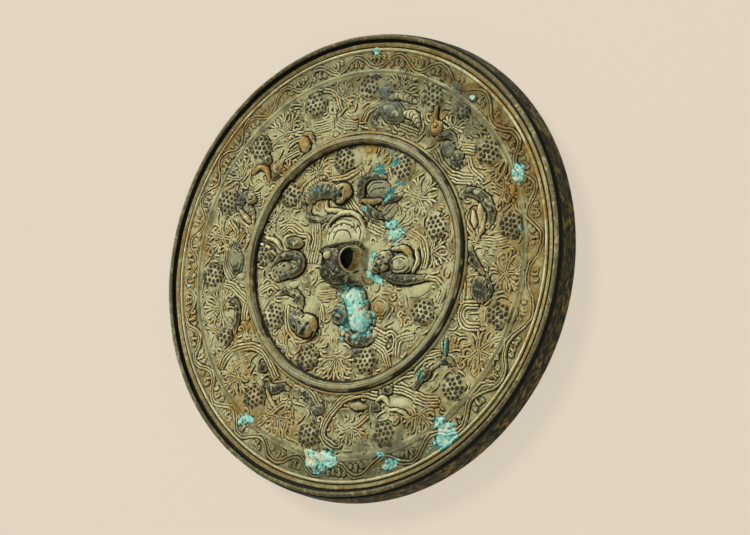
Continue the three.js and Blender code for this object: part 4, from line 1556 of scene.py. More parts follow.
@dataclass(frozen=True)
class FieldRing:
    """A ring of the back, a closed band whose top is the relief."""

    inner: float
    outer: float
    around: int
    rings: int
    base: float

    def build(self, relief: Relief, floor: float) -> Surface:
        """Lays a round net over the ring, lifts it to the relief and closes it below.

        Args:
            relief: The finished relief.
            floor: The height of the fields' floor.

        Returns:
            The piece's surface.
        """
        turn = directions(self.around)
        radius = np.linspace(self.inner, self.outer, self.rings + 1)
        xs = (radius[:, None] * np.cos(turn)).ravel()
        ys = (radius[:, None] * np.sin(turn)).ravel()
        top = np.column_stack([xs, ys, floor + relief.sample(relief.body, xs, ys)])
        foot = np.vstack([top[: self.around], top[-self.around:]])
        foot[:, 2] = self.base
        at = np.arange(len(top)).reshape(self.rings + 1, self.around)
        below = len(top) + np.arange(2 * self.around).reshape(2, self.around)
        quads = np.vstack([band(at[k], at[k + 1]) for k in range(self.rings)])
        hidden = np.vstack([band(at[-1], below[1]), band(below[1], below[0]), band(below[0], at[0])])
        smooth = np.append(np.ones(len(quads)), np.zeros(len(hidden)))
        faces = np.vstack([quads, hidden]).tolist()
        return Surface(np.vstack([top, foot]), faces, smooth, relief_looks(relief, xs, ys, len(foot)))


@dataclass(frozen=True)
class RimAndFace:
    """The plate that carries the back: polished face, flared edge, bead and the rim's slope."""

    face: float  # radius of the polished face
    inner: float  # where the rim meets the vine band
    top: float  # top of the plate under the fields
    around: int = 1240
    fine_step: float = 0.3  # between points of the section down to the top of the wall
    coarse_step: float = 0.62  # and between those of the wall
    face_steps: tuple[int, int, int] = (2, 3, 3)  # parts of the last three stretches, on the face

    def outline(self, floor: float) -> list[tuple[float, ...]]:
        """The rim's section from the band outwards, down the edge and in under the face.

        Args:
            floor: The height of the fields' floor.

        Returns:
            For each point its radius, its height, and its crest, metal, earth and wall.
        """
        # the crest column paints shade in the grooves, where it is low, and a highlight on the bead, where it
        # is high
        return [
            (self.inner, floor - 0.12, -1.3, 0.2, 0.3, 0), (81.1, floor + 0.05, 0.1, 0.2, 0.9, 0),
            (81.6, floor + 0.26, 0.3, 0.2, 0.6, 0), (82.05, floor + 0.4, 0.4, 0.2, 0.6, 0),
            (82.28, floor + 0.32, -0.3, 0.3, 0.7, 0), (82.42, floor + 0.04, -1.5, 0, 0, 0),
            (83.12, floor + 0.02, -1.5, 0, 0, 0), (83.26, floor + 0.7, -1.5, 0, 0, 0),
            (83.36, floor + 1.3, -0.9, 0.6, 0.2, 0), (83.6, floor + 1.68, 0.2, 0.9, 0.6, 0),
            (84.12, floor + 1.93, 0.7, 1, 0.6, 0), (84.62, floor + 1.86, 0.6, 0.9, 0.6, 0),
            (85.0, floor + 1.52, 0, 0.8, 0.2, 0), (85.1, floor + 1.15, -1.2, 0.3, 0, 0),
            (84.94, floor + 0.9, -1.5, 0, 0, 0), (84.96, floor + 0.25, -1.5, 0, 0, 0),
            (85.28, floor + 0.08, -1.5, 0, 0, 0), (85.52, floor - 0.05, -1.5, 0, 0, 0),
            (85.66, floor - 0.5, -1.5, 0, 0, 0), (85.74, floor - 0.9, -1.1, 0.3, 0.3, 0.6),
            (85.86, floor - 1.4, 0, 0.3, 0.5, 1), (86.0, floor - 2.2, 0, 0.3, 0.5, 1),
            (86.35, floor - 4.2, 0, 0.3, 0.5, 1), (86.6, floor - 6.4, 0, 0.3, 0.6, 1),
            (self.face - 0.02, 0.75, 0.2, 0.3, 0.6, 1), (self.face - 0.15, 0.28, 0.2, 0.5, 0.4, 1),
            (self.face - 0.6, 0.0, 0.1, 0.7, 0.2, 0), (self.face - 3, 0.0, 0.1, 1, 0, 0),
            (self.face - 30, 0.0, 0.1, 1, 0, 0), (0.0, 0.0, 0.1, 1, 0, 0),
        ]

    def build(self, relief: Relief, floor: float) -> Surface:
        """Turns the section about the mirror's axis, dents it a little and closes it inside.

        Args:
            relief: The finished relief.
            floor: The height of the fields' floor.

        Returns:
            The piece's surface.
        """
        section = self.section(floor)
        turn = directions(self.around)
        radius, height = section[:, :1], section[:, 1:2]
        shape = relief.low.shape
        dents = layered_noise(shape, 24, 3, seed=71) * 0.1 + layered_noise(shape, 70, 2, seed=73) * 0.1
        xs, ys = radius * np.cos(turn), radius * np.sin(turn)
        dent = relief.sample(dents, 0.95 * xs + 1.1 * height, 0.95 * ys - 1.7 * height)
        held = np.clip((height - 0.6) / 0.8, 0, 1) * np.clip((radius - self.inner) / 0.5, 0, 1)
        dent = np.minimum(dent, 0.15) * held
        bead = np.exp(-((radius - 84.3) ** 2) / 0.8) * (height > floor)
        xs, ys = xs * (1 + dent * (1 - bead) / 86), ys * (1 + dent * (1 - bead) / 86)
        zs = height + dent * (0.35 + 0.5 * bead) * (height > floor - 0.5)
        zs[0] = floor + relief.sample(relief.body, xs[0], ys[0])
        outer = np.stack([xs, ys, zs], -1).reshape(-1, 3)
        seat = np.full(self.around, self.top)
        hidden = np.column_stack([self.inner * np.cos(turn), self.inner * np.sin(turn), seat])
        corners = np.vstack([outer, hidden, [[0, 0, 0], [0, 0, self.top]]])
        at = np.arange(len(outer)).reshape(len(section), self.around)
        inside = len(outer) + np.arange(self.around)
        low_pole, high_pole = len(outer) + self.around, len(outer) + self.around + 1
        quads = np.vstack([band(at[k], at[k + 1]) for k in range(len(section) - 1)])
        faces = quads.tolist() + band(inside, at[0]).tolist() + fan(at[-1], low_pole).tolist()
        faces += fan(inside, high_pole)[:, ::-1].tolist()
        smooth = np.append(np.ones(len(quads)), np.zeros(3 * self.around))
        return Surface(corners, faces, smooth, self._looks(section, np.degrees(turn), floor))

    def section(self, floor: float) -> Array:
        """The outline with points close enough together to take dents.

        Args:
            floor: The height of the fields' floor.

        Returns:
            One row for each point, as in the outline.
        """
        rough = np.array(self.outline(floor))
        steps = []
        for a, b in zip(rough, rough[1:]):
            wanted = self.fine_step if a[1] > floor - 1 else self.coarse_step
            steps.append(max(1, int(np.hypot(*(b - a)[:2]) / wanted)))
        steps[-3:] = self.face_steps
        fine = [a + (b - a) * k / count for a, b, count in zip(rough, rough[1:], steps) for k in range(count)]
        return np.array(fine)

    def _looks(self, section: Array, turn: Array, floor: float) -> dict[str, Array]:
        """What the finish needs at each corner of the rim.

        Args:
            section: The rows of the section.
            turn: The directions that it is turned through, in degrees.
            floor: The height of the fields' floor.

        Returns:
            One array for each look that the rim has.
        """
        plain = np.zeros(self.around + 2)  # the corners that don't show
        crest, metal, earth, wall = section[:, 2:].T
        metal = metal * np.where(section[:, 1] > floor, 0.7, 1)
        values = {"crest": crest, "metal": metal, "earth": earth, "wall": wall}
        looks = {name: np.append(np.repeat(value, self.around), plain) for name, value in values.items()}
        turns = np.tile(turn, len(section))
        looks["greyed"] = 0.6 * looks["metal"] * (1 - looks["wall"])
        looks["greyed"] *= np.append(0.5 + 0.9 * within_sweep(turns, 95, 320), plain)
        shade = 0.6 * within_sweep(turns, 212, 334) + 0.6 * within_sweep(turns, 52, 132)
        looks["shade"] = np.append(shade, plain) * (1 - looks["wall"])
        return looks


# The knob.


def surface_net(depth: Array, low: Array, step: float) -> tuple[Array, Array]:
    """Wraps a closed net of four-sided faces round the space where a field is below zero.

    Args:
        depth: The field over a box-shaped grid.
        low: The grid's lowest corner.
        step: The distance between its places.

    Returns:
        The net's corners and its faces.
    """
    shape = np.array(depth.shape) - 1
    offsets = [np.array((k >> 2 & 1, k >> 1 & 1, k & 1)) for k in range(8)]

    def corner(offset: Array) -> Array:
        """The field at one corner of every cell."""
        return depth[tuple(slice(o, o + n) for o, n in zip(offset, shape))]

    inside = sum((corner(o) < 0).astype(int) for o in offsets)
    active = (inside > 0) & (inside < 8)
    number = np.full(tuple(shape), -1)
    number[active] = np.arange(active.sum())
    cells = np.argwhere(active)
    values = [corner(o)[active] for o in offsets]
    total, hits = np.zeros((len(cells), 3)), np.zeros(len(cells))
    for i in range(8):
        for j in range(i + 1, 8):
            if np.abs(offsets[i] - offsets[j]).sum() != 1:
                continue
            cross = (values[i] < 0) != (values[j] < 0)
            share = np.where(cross, values[i] / np.where(cross, values[i] - values[j], 1), 0)
            total += cross[:, None] * (offsets[i] + share[:, None] * (offsets[j] - offsets[i]))
            hits += cross
    corners = low + (cells + total / hits[:, None]) * step
    faces = []
    for axis in range(3):
        u, v = (axis + 1) % 3, (axis + 2) % 3
        here = depth[tuple(slice(0, -1) if k == axis else slice(1, -1) for k in range(3))] < 0
        after = depth[tuple(slice(1, None) if k == axis else slice(1, -1) for k in range(3))] < 0
        for leaving in (True, False):
            at = np.argwhere((here != after) & (here == leaving))
            at[:, u] += 1
            at[:, v] += 1
            loop = []
            for du, dv in ((0, 0), (-1, 0), (-1, -1), (0, -1)):
                cell = at.copy()
                cell[:, u] += du
                cell[:, v] += dv
                loop.append(number[cell[:, 0], cell[:, 1], cell[:, 2]])
            quads = np.stack(loop if leaving else loop[::-1], -1)
            faces.append(quads)
    return corners, np.vstack(faces)


def merge(a: Array, b: Array, soft: float) -> Array:
    """Joins two bodies.

    Args:
        a: The depth of the one over a box-shaped grid, below zero inside it.
        b: The depth of the other.
        soft: How wide the seam is filled.

    Returns:
        The depth of both.
    """
    share = np.clip(0.5 + 0.5 * (b - a) / soft, 0, 1)
    return b + (a - b) * share - soft * share * (1 - share)


@dataclass(frozen=True)
class Clay:
    """A box of space in which bodies are given by their depth at each place of a grid."""

    xs: Array
    ys: Array
    zs: Array

    def lump(self, middle: Place, half: Place, turn: float = 0.0, square: float = 2.0) -> Array:
        """The depth of a rounded body, below zero inside it.

        Args:
            middle: Its middle.
            half: Half its length, width and height, before it is turned.
            turn: How far it is turned, in degrees.
            square: How square its plan is: 2 is an oval.

        Returns:
            The depth at each place.
        """
        along, across = turned_axes(self.xs, self.ys, middle[0], middle[1], turn)
        plan = (np.abs(along / half[0]) ** square + np.abs(across / half[1]) ** square) ** (1 / square)
        return (np.hypot(plan, (self.zs - middle[2]) / half[2]) - 1) * min(half)

    def tube(self, points: Sequence[Place], radius: float) -> Array:
        """The depth of a round cord through points, below zero inside it.

        Args:
            points: The points.
            radius: The cord's radius.

        Returns:
            The depth at each place.
        """
        near = np.full(self.xs.shape, np.inf)
        for a, b in zip(points, points[1:]):
            run = np.subtract(b, a)
            away = [places - start for places, start in zip((self.xs, self.ys, self.zs), a)]
            share = np.clip(sum(gap * step for gap, step in zip(away, run)) / (run @ run), 0, 1)
            near = np.minimum(near, np.sqrt(sum((gap - share * step) ** 2 for gap, step in zip(away, run))))
        return near - radius


@dataclass(frozen=True)
class KnobBeast:
    """The crouching beast in the middle, bored from side to side for the mirror's cord."""

    floor: float = FLOOR
    step: float = 0.176
    low: Place = (-14.6, -10.4, 6.9)  # the lowest corner of the box that it is modelled in
    high: Place = (6.6, 8.2, 18.2)
    bore: Place = (0.2, 4.7, 3.1)  # its y, its height over the floor, its radius
    mouth: float = 1.5  # how far out the bore's mouth lies
    flare: float = 1.1  # how much wider the mouth is
    eye: Place = (-6.2, 1.7, 7.2)
    folds: int = 4  # cut in its near side
    crest: tuple[Place, ...] = (  # the ridge of its spine on the far side
        (-11.6, 4.2, 4.8), (-7.6, 5.0, 6.4), (-3.0, 5.4, 6.9), (0.8, 5.9, 5.4), (3.6, 6.5, 2.8),
    )

    def build(self) -> Surface:
        """Models the beast and wraps it in a net.

        Returns:
            The knob's surface.
        """
        counts = [int((b - a) / self.step) + 1 for a, b in zip(self.low, self.high)]
        ticks = [a + self.step * np.arange(n) for a, n in zip(self.low, counts)]
        xs, ys, zs = np.meshgrid(*ticks, indexing="ij")
        zs = zs - self.floor
        clay = Clay(xs, ys, zs)
        body = clay.lump((-4.9, -0.8, 0), (7.9, 7.5, 9.2), -6, 2.9)
        body = -merge(-body, -(zs - 8.3 - 0.34 * (xs + 4)) / 1.06, 1.6)  # its back slopes
        body = merge(body, clay.lump((-11.2, -0.8, 1.6), (2.0, 2.8, 2.6)), 1.0)  # muzzle
        body = merge(body, clay.lump((-8.2, -5.2, 0.8), (4.0, 2.8, 3.6), -32), 0.9)  # near shoulder
        body = merge(body, clay.lump((-1.4, -5.8, 0.8), (4.4, 2.7, 3.6), 12), 0.9)  # near haunch
        body = merge(body, clay.lump((2.4, -3.6, 0.2), (2.6, 3.2, 1.6), 20), 1.2)  # near hind paw
        body = merge(body, clay.lump((1.4, 4.7, 0.2), (3.6, 3.0, 4.4), -10), 1.2)  # far haunch
        body = merge(body, clay.lump((-11.4, 4.5, 1.0), (1.6, 1.4, 3.4), 40), 0.8)  # ear
        body = merge(body, clay.tube(self.crest, 0.6), 0.7)
        for k in range(self.folds):
            upper = (-10.4 + 2.1 * k, -3.0, 6.0 + 0.9 * k - 0.25 * k**2)
            lower = (-9.8 + 2.3 * k, -5.6, 3.8 + 0.5 * k)
            body = np.maximum(body, -clay.tube([upper, lower], 0.3))
        ex, ey, ez = self.eye
        body = np.maximum(body, -clay.lump((ex, ey, ez + 1.1), (2.3, 2.2, 1.7)))
        body = merge(body, clay.lump(self.eye, (1.75, 1.6, 1.5)), 0.2)
        channel = self._outside_bore(xs, ys, zs)
        lip = np.hypot(channel, (xs - self.mouth + 0.55 * (zs - self.bore[1])) * 0.8) - 0.42
        body = merge(body, lip, 0.6)
        body = np.maximum(body, -channel)
        body = np.maximum(body, (self.low[2] + 0.35) - (zs + self.floor))  # a flat foot in the plate
        grain = layered_noise((xs.shape[0] * 2, xs.shape[1] + 2 * xs.shape[2]), 9, 3, seed=91)
        ix, iy, iz = np.indices(xs.shape)
        body = body + 0.16 * grain[ix, iy + iz]
        corners, faces = surface_net(body, np.array(self.low), self.step)
        return Surface(corners, faces.tolist(), np.ones(len(faces)), self._looks(corners, body))

    def _outside_bore(self, x: Array, y: Array, z: Array) -> Array:
        """How far places lie outside the bore, which flares towards its near mouth.

        Args:
            x: The x of each place.
            y: The y of each place.
            z: The height of each place over the floor.

        Returns:
            The distances, below zero inside the bore.
        """
        middle, height, radius = self.bore
        flared = radius + self.flare * smooth_step(np.clip((x + 2.4) / 4.0, 0, 1))
        return np.hypot((y - middle) * 0.97, (z - height) * 1.1) - flared

    def _looks(self, corners: Array, body: Array) -> dict[str, Array]:
        """Dark metal over the beast, pale patina about the bore's mouth, painted shade in its folds and deep
        in the bore.

        Args:
            corners: The net's corners.
            body: The beast's depth over the grid.

        Returns:
            One array for each look that the knob has.
        """
        soft = body.copy()
        for axis in range(3):
            for _ in range(2):
                soft = (np.roll(soft, 2, axis) + soft + np.roll(soft, -2, axis)) / 3
        at = ((corners - np.array(self.low)) / self.step).astype(int)
        at = np.clip(at, 0, np.array(body.shape) - 1)
        bend = (soft - body)[at[:, 0], at[:, 1], at[:, 2]]
        x, y, z = corners[:, 0], corners[:, 1], corners[:, 2] - self.floor
        gap = self._outside_bore(x, y, z)
        inside = np.clip((0.2 - gap) / 0.3, 0, 1)
        lip = np.exp(-((gap - 0.3) ** 2) / 0.1) * np.clip((x + 0.8) / 1.5, 0, 1)
        ex, ey, ez = self.eye
        eye = np.clip((1.72 - np.hypot(x - ex, y - ey)) / 0.2, 0, 1) * (z > ez - 1)
        faded = np.clip((x - 1.0) / 2.2, 0, 1) * (1 - inside) * np.clip((4.6 - y) / 1.4, 0, 1)
        # painted shade: darker the deeper into the bore
        deep = inside * np.clip((0.5 - x + 0.25 * (y - self.bore[0])) / 0.7, 0, 1)
        return {
            "crest": np.clip(bend / 0.05 * (1 - 0.6 * inside) - 2 * deep, -1.5, 1),
            "metal": np.clip(1 - lip - inside - eye - 0.8 * faded, 0, 1),
            "earth": np.clip(inside * (1 - deep) + 0.5 * lip + 0.5 * eye, 0, 1),
            "pale": np.clip(0.8 * lip + eye, 0, 1) * (1 - inside),
            "dark": np.clip(deep, 0, 1),
        }


# Finishes.


Colour = tuple[float, float, float, float]


def paint(red: int, green: int, blue: int) -> Colour:
    """A colour given as it looks on a screen, from 0 to 255, as the shader wants it."""
    shares = [level / 255 for level in (red, green, blue)]
    linear = [v / 12.92 if v <= 0.04 else ((v + 0.055) / 1.055) ** 2.4 for v in shares]
    return (linear[0], linear[1], linear[2], 1.0)


class Value:
    """A socket that gives a number, ready for Python's operators."""

    def __init__(self, shader: Shader, socket: bpy.types.NodeSocket) -> None:
        """Wraps a socket of a shader's tree."""
        self.shader = shader
        self.socket = socket

    def _math(self, operation: str, *others: Value | float, first: bool = True) -> Value:
        """Adds a Math node.

        Args:
            operation: The node's operation.
            others: The terms beside this value.
            first: Whether this value is the first term or the last.

        Returns:
            The node's value.
        """
        terms = (self, *others) if first else (*others, self)
        return self.shader.node("ShaderNodeMath", {"operation": operation}, dict(enumerate(terms)))

    def __add__(self, other: Value | float) -> Value:
        """This plus another."""
        return self._math("ADD", other)

    def __sub__(self, other: Value | float) -> Value:
        """This less another."""
        return self._math("SUBTRACT", other)

    def __rsub__(self, other: float) -> Value:
        """A number less this."""
        return self._math("SUBTRACT", other, first=False)

    def __mul__(self, other: Value | float) -> Value:
        """This times another."""
        return self._math("MULTIPLY", other)

    __radd__ = __add__
    __rmul__ = __mul__

    def span(self, low: float, high: float) -> Value:
        """How far this is from one value to another, smoothly and kept from 0 to 1."""
        return self.shader.node("ShaderNodeMapRange", {"interpolation_type": "SMOOTHSTEP"},
                                {0: self, 1: low, 2: high})

    def most(self, other: Value | float) -> Value:
        """The larger of this and another."""
        return self._math("MAXIMUM", other)


class Shader:
    """A material whose nodes are written as Python expressions."""

    def __init__(self, name: str) -> None:
        """Starts a material with a bare surface shader.

        Args:
            name: The material's name.
        """
        self.material = bpy.data.materials.new(name)
        self.material.use_nodes = True
        self.tree = self.material.node_tree
        self.surface = self.tree.nodes["Principled BSDF"]

    def node(self, kind: str, settings: dict[str, object] | None = None,
             inputs: dict[int | str, object] | None = None, output: int | str = 0) -> Value:
        """Adds a node.

        Args:
            kind: The node's type.
            settings: The node's own properties, set before anything else.
            inputs: A value or a link for each socket, by its number or name.
            output: The socket that the node is wanted for.

        Returns:
            That socket, wrapped.
        """
        node = self.tree.nodes.new(kind)
        for key, setting in (settings or {}).items():
            setattr(node, key, setting)
        for key, wanted in (inputs or {}).items():
            if isinstance(wanted, Value):
                self.tree.links.new(wanted.socket, node.inputs[key])
            else:
                node.inputs[key].default_value = wanted
        return Value(self, node.outputs[output])

    def mix(self, share: Value | float, first: Value | Colour, second: Value | Colour,
            blend: str = "MIX") -> Value:
        """Mixes two colours.

        Args:
            share: How far the second shows, from 0 to 1.
            first: The colour at 0.
            second: The colour at 1.
            blend: The way that they are mixed.

        Returns:
            The mixed colour.
        """
        return self.node("ShaderNodeMix", {"data_type": "RGBA", "blend_type": blend},
                         {0: share, 6: first, 7: second}, output=2)

    def look(self, name: str) -> Value:
        """One of the looks that the mesh carries."""
        return self.node("ShaderNodeAttribute", {"attribute_name": name}, output="Fac")

    def noise(self, size: float, detail: float = 3.0, rough: float = 0.55, seed: float = 0.0) -> Value:
        """Noise from 0 to 1.

        Args:
            size: How wide its spots are, in millimetres.
            detail: How many finer octaves it has.
            rough: How strong they are.
            seed: What sets it apart from other noise.

        Returns:
            The noise.
        """
        place = self.node("ShaderNodeTexCoord", output="Object")
        return self.node("ShaderNodeTexNoise", {"noise_dimensions": "4D"},
                         {"Vector": place, "W": seed, "Scale": 1 / (size * MM), "Detail": detail,
                          "Roughness": rough})

    def feed(self, socket: str, wanted: Value | Colour | float) -> None:
        """Sets or links a socket of the surface shader.

        Args:
            socket: The socket's name.
            wanted: A number or a colour, which is set, or a value, which is linked.
        """
        if isinstance(wanted, Value):
            self.tree.links.new(wanted.socket, self.surface.inputs[socket])
        else:
            self.surface.inputs[socket].default_value = wanted

    def bump(self, height: Value, depth: float) -> None:
        """Roughens the surface by a height from 0 to 1 that stands for so many millimetres."""
        inputs = {"Height": height, "Distance": depth * MM, "Strength": 1.0}
        self.feed("Normal", self.node("ShaderNodeBump", {}, inputs, output="Normal"))


@dataclass(frozen=True)
class Patina:
    """Buried bronze: cream-olive with painted highlights on the ridges and painted shade dark in the gaps,
    with earth, wear and crust.
    """

    # the ridge and gold colours are painted highlights, laid on the crests
    ridge: Colour = paint(230, 220, 168)
    gold: Colour = paint(214, 162, 58)
    middle: Colour = paint(182, 178, 130)
    tarnish: Colour = paint(92, 93, 62)
    gap: Colour = paint(21, 23, 11)
    olive: Colour = paint(126, 128, 92)
    wall_dark: Colour = paint(24, 28, 20)
    wall_olive: Colour = paint(70, 66, 36)
    wall_grey: Colour = paint(100, 108, 94)
    wall_ochre: Colour = paint(146, 110, 34)
    metal: Colour = paint(80, 90, 78)
    metal_light: Colour = paint(166, 169, 148)
    metal_dark: Colour = paint(22, 24, 17)
    ochre: Colour = paint(190, 148, 54)
    ochre_dark: Colour = paint(124, 92, 24)
    ochre_pale: Colour = paint(226, 200, 154)
    smooth: Colour = paint(212, 206, 160)
    shaded: Colour = (0.42, 0.38, 0.2, 1.0)  # what the shaded stretches keep of each colour
    lightened: Colour = (1.36, 1.38, 1.4, 1.0)  # and how far the lightened ones gain
    grey: Colour = paint(82, 90, 76)
    blue: Colour = paint(120, 194, 178)
    blue_light: Colour = paint(202, 230, 206)
    blue_dark: Colour = paint(46, 112, 108)

    def dress(self, name: str) -> bpy.types.Material:
        """Makes the material.

        Args:
            name: The material's name.

        Returns:
            The material.
        """
        shader = Shader(name)
        crest = shader.look("crest")
        patchy = shader.noise(7, 3)
        mottled = shader.noise(1.6, 3, seed=3)
        grain = shader.noise(0.35, 2, seed=6)
        specks = shader.noise(0.7, 2, seed=15).span(0.63, 0.7) * (0.5 + mottled).span(0.8, 1.1)
        colour = self._patina(shader, crest, patchy, mottled, grain)
        metal = shader.look("metal") * (mottled * 1.2 + patchy * 0.6 + crest * 0.1).span(0.74, 0.94)
        colour = shader.mix(metal * 0.94, colour, self._bare(shader, crest, mottled))
        # the dark look holds dark dirt and worn tops in cut lines, pits and berries, and painted shade in the
        # grooves beside the strokes and deep in the knob's bore
        dirt_and_shade = (shader.look("dark") + (grain - 0.5) * 0.3).span(0.25, 0.6)
        colour = shader.mix(dirt_and_shade * 0.95, colour, self.metal_dark)
        colour = shader.mix(shader.look("greyed") * 0.6, colour, self.grey)
        colour = shader.mix((specks * 0.6).most(grain.span(0.55, 0.8) * 0.4), colour, self.gap)
        # painted shade: the recesses, where the surface lies below what is close to it, take the dark gap
        # colour, less so where the patina is pale
        gap = 1 - (crest + (mottled - 0.5) * 0.6).span(-0.75, -0.22)
        colour = shader.mix(gap * (1 - shader.look("pale") * 0.8), colour, self.gap)
        colour = shader.mix(shader.look("shade"), colour, self.shaded, "MULTIPLY")
        colour = shader.mix(0.0 - shader.look("shade"), colour, self.lightened, "MULTIPLY")
        side = shader.mix(specks, self._wall(shader, patchy, mottled, grain), self.gap)
        colour = shader.mix(shader.look("wall"), colour, side)
        crust = shader.look("crust")
        crusted = (crust * 1.6 + (grain - 0.5) * 0.5 + (mottled - 0.5) * 0.6).span(0.3, 0.5)
        colour = shader.mix(crusted, colour, self._turquoise(shader, crust, crest, patchy, mottled))
        shader.feed("Base Color", colour)
        shader.feed("Roughness", 0.72 + (grain - 0.5) * 0.2 - metal * 0.22 + crusted * 0.1)
        shader.feed("Metallic", metal * (1 - crusted) * 0.35)
        shader.feed("Specular IOR Level", 0.22)
        shader.bump(grain * 0.7 + mottled * 0.5, 0.2)
        return shader.material

    def _patina(self, shader: Shader, crest: Value, patchy: Value, mottled: Value, grain: Value) -> Value:
        """The patina of the fields, with a painted highlight on its ridges, and the earth that it holds.

        Args:
            shader: The material.
            crest: How far each place stands over those beside it.
            patchy: Coarse noise.
            mottled: Finer noise.
            grain: The finest noise.

        Returns:
            The colour.
        """
        colour = shader.mix((patchy * 0.8 + mottled * 0.5).span(0.55, 0.76) * 0.85, self.middle, self.olive)
        tarnish = (shader.noise(2.8, 3, seed=11) * 0.75 + patchy * 0.35).span(0.55, 0.68)
        colour = shader.mix(tarnish * 0.7, colour, self.tarnish)
        gold = (shader.noise(2.4, 3, seed=21) * 0.7 + shader.noise(14, 2, seed=22) * 0.5).span(0.57, 0.69)
        # painted highlight: where the surface stands over what is close to it, it is lightened to cream or
        # gold
        edge = (crest + (grain - 0.5) * 0.5).span(0.1, 0.9)
        worn = edge * (0.35 + (mottled * 0.9 + patchy * 0.5).span(0.5, 0.9))
        colour = shader.mix(worn * 0.85, colour, shader.mix(gold * 0.85, self.ridge, self.gold))
        colour = shader.mix(shader.look("pale") * 0.8, colour, self.smooth)
        held = (0.3 - crest).span(0.2, 0.8) * (mottled * 0.7 + patchy * 0.5).span(0.52, 0.68)
        # the earth look also carries the ochre painted as shade on slopes facing away from the key light
        wet = shader.look("earth") * (mottled * 1.2 + patchy * 0.6).span(0.65, 0.95)
        ochre = shader.mix(grain.span(0.35, 0.65), self.ochre_dark, self.ochre)
        return shader.mix((held * 0.75).most(wet) * 0.9, colour, ochre)

    def _bare(self, shader: Shader, crest: Value, mottled: Value) -> Value:
        """Bare metal with lighter scratches, darker in patches, and darker on its tops, where a dark
        reflection is painted.

        Args:
            shader: The material.
            crest: How far each place stands over those beside it.
            mottled: Fine noise.

        Returns:
            The colour.
        """
        scratches = self._drawn_out(shader, (0.35, 1.0, 1.0), 0.6)
        bare = shader.mix(scratches.span(0.5, 0.66), self.metal, self.metal_light)
        # painted reflection: the metal darkens where it stands over what is close to it
        return shader.mix((crest * 0.5 + mottled * 0.9).span(0.45, 0.8), bare, self.metal_dark)

    def _wall(self, shader: Shader, patchy: Value, mottled: Value, grain: Value) -> Value:
        """The outer wall, streaked along its length, with ochre, grey and a little verdigris.

        Args:
            shader: The material.
            patchy: Coarse noise.
            mottled: Finer noise.
            grain: The finest noise.

        Returns:
            The colour.
        """
        streaks = self._drawn_out(shader, (0.4, 0.4, 1.1))
        side = shader.mix(streaks.span(0.42, 0.56), self.wall_dark, self.wall_olive)
        side = shader.mix((streaks * 0.6 + patchy * 0.5).span(0.56, 0.68), side, self.wall_ochre)
        side = shader.mix((streaks * 0.4 + mottled * 0.8).span(0.68, 0.8) * 0.8, side, self.wall_grey)
        verdigris = (patchy * 0.9 + mottled * 0.3).span(0.68, 0.74) * grain.span(0.4, 0.6)
        return shader.mix(verdigris * 0.7, side, self.blue_dark)

    def _turquoise(self, shader: Shader, crust: Value, crest: Value, patchy: Value, mottled: Value) -> Value:
        """The crust, paler where it is thick, dark at its edge and stained with ochre.

        Args:
            shader: The material.
            crust: How thick the crust lies.
            crest: How far each place stands over those beside it.
            patchy: Coarse noise.
            mottled: Finer noise.

        Returns:
            The colour.
        """
        blue = shader.mix((mottled * 0.7 + crust * 0.3).span(0.55, 0.75), self.blue, self.blue_light)
        thin = (1.12 - crust * 0.8 - crest * 0.4 + (mottled - 0.5)).span(0.25, 0.6)
        blue = shader.mix(thin, blue, self.blue_dark)
        stained = (patchy * 0.5 + mottled * 0.6).span(0.58, 0.66) * crust
        return shader.mix(stained * 0.85, blue, self.ochre_pale)

    def _drawn_out(self, shader: Shader, scale: Place, turn: float = 0.0) -> Value:
        """Noise drawn out along a direction.

        Args:
            shader: The material.
            scale: How close its spots are along each axis.
            turn: How far it is turned about the mirror's axis, in radians.

        Returns:
            The noise, from 0 to 1.
        """
        place = shader.node("ShaderNodeTexCoord", output="Object")
        inputs = {"Vector": place, "Rotation": (0, 0, turn), "Scale": scale}
        place = shader.node("ShaderNodeMapping", {}, inputs)
        inputs = {"Vector": place, "Scale": 900.0, "Detail": 4.0, "Roughness": 0.6}
        return shader.node("ShaderNodeTexNoise", {}, inputs)


@dataclass(frozen=True)
class Backdrop:
    """The plain pale floor, which glows a little so that shadows on it stay faint."""

    colour: Colour = paint(226, 213, 194)
    lit: Colour = paint(94, 89, 80)  # what it gives back of the lamps' light, over its own glow
    glow: float = 0.81
    half: float = 3.0  # half its width, in metres

    def build(self, low: float) -> bpy.types.Object:
        """Lays the floor.

        Args:
            low: The height that the mirror rests on, in metres.

        Returns:
            The floor.
        """
        mesh = bpy.data.meshes.new("floor")
        corners = [(x * self.half, y * self.half, low) for x, y in ((-1, -1), (1, -1), (1, 1), (-1, 1))]
        mesh.from_pydata(corners, [], [(0, 1, 2, 3)])
        shader = Shader("pale_paper")
        shader.feed("Base Color", self.lit)
        shader.feed("Emission Color", self.colour)
        shader.feed("Emission Strength", self.glow)
        shader.feed("Roughness", 0.9)
        mesh.materials.append(shader.material)
        floor = bpy.data.objects.new("floor", mesh)
        bpy.context.scene.collection.objects.link(floor)
        return floor


@dataclass(frozen=True)
class Lamp:
    """A wide soft lamp so far off that it lights the whole floor alike."""

    name: str
    side: Place  # where it stands, seen from the mirror
    strength: float
    spread: float  # how wide it looks from the mirror, in degrees
    warmth: Place = (1.0, 1.0, 1.0)

    def hang(self) -> None:
        """Makes the lamp."""
        light = bpy.data.lights.new(self.name, "SUN")
        light.energy = self.strength
        light.angle = math.radians(self.spread)
        light.color = self.warmth
        lamp = bpy.data.objects.new(self.name, light)
        lamp.location = self.side
        lamp.rotation_euler = (-Vector(self.side)).to_track_quat("-Z", "Y").to_euler()
        bpy.context.scene.collection.objects.link(lamp)


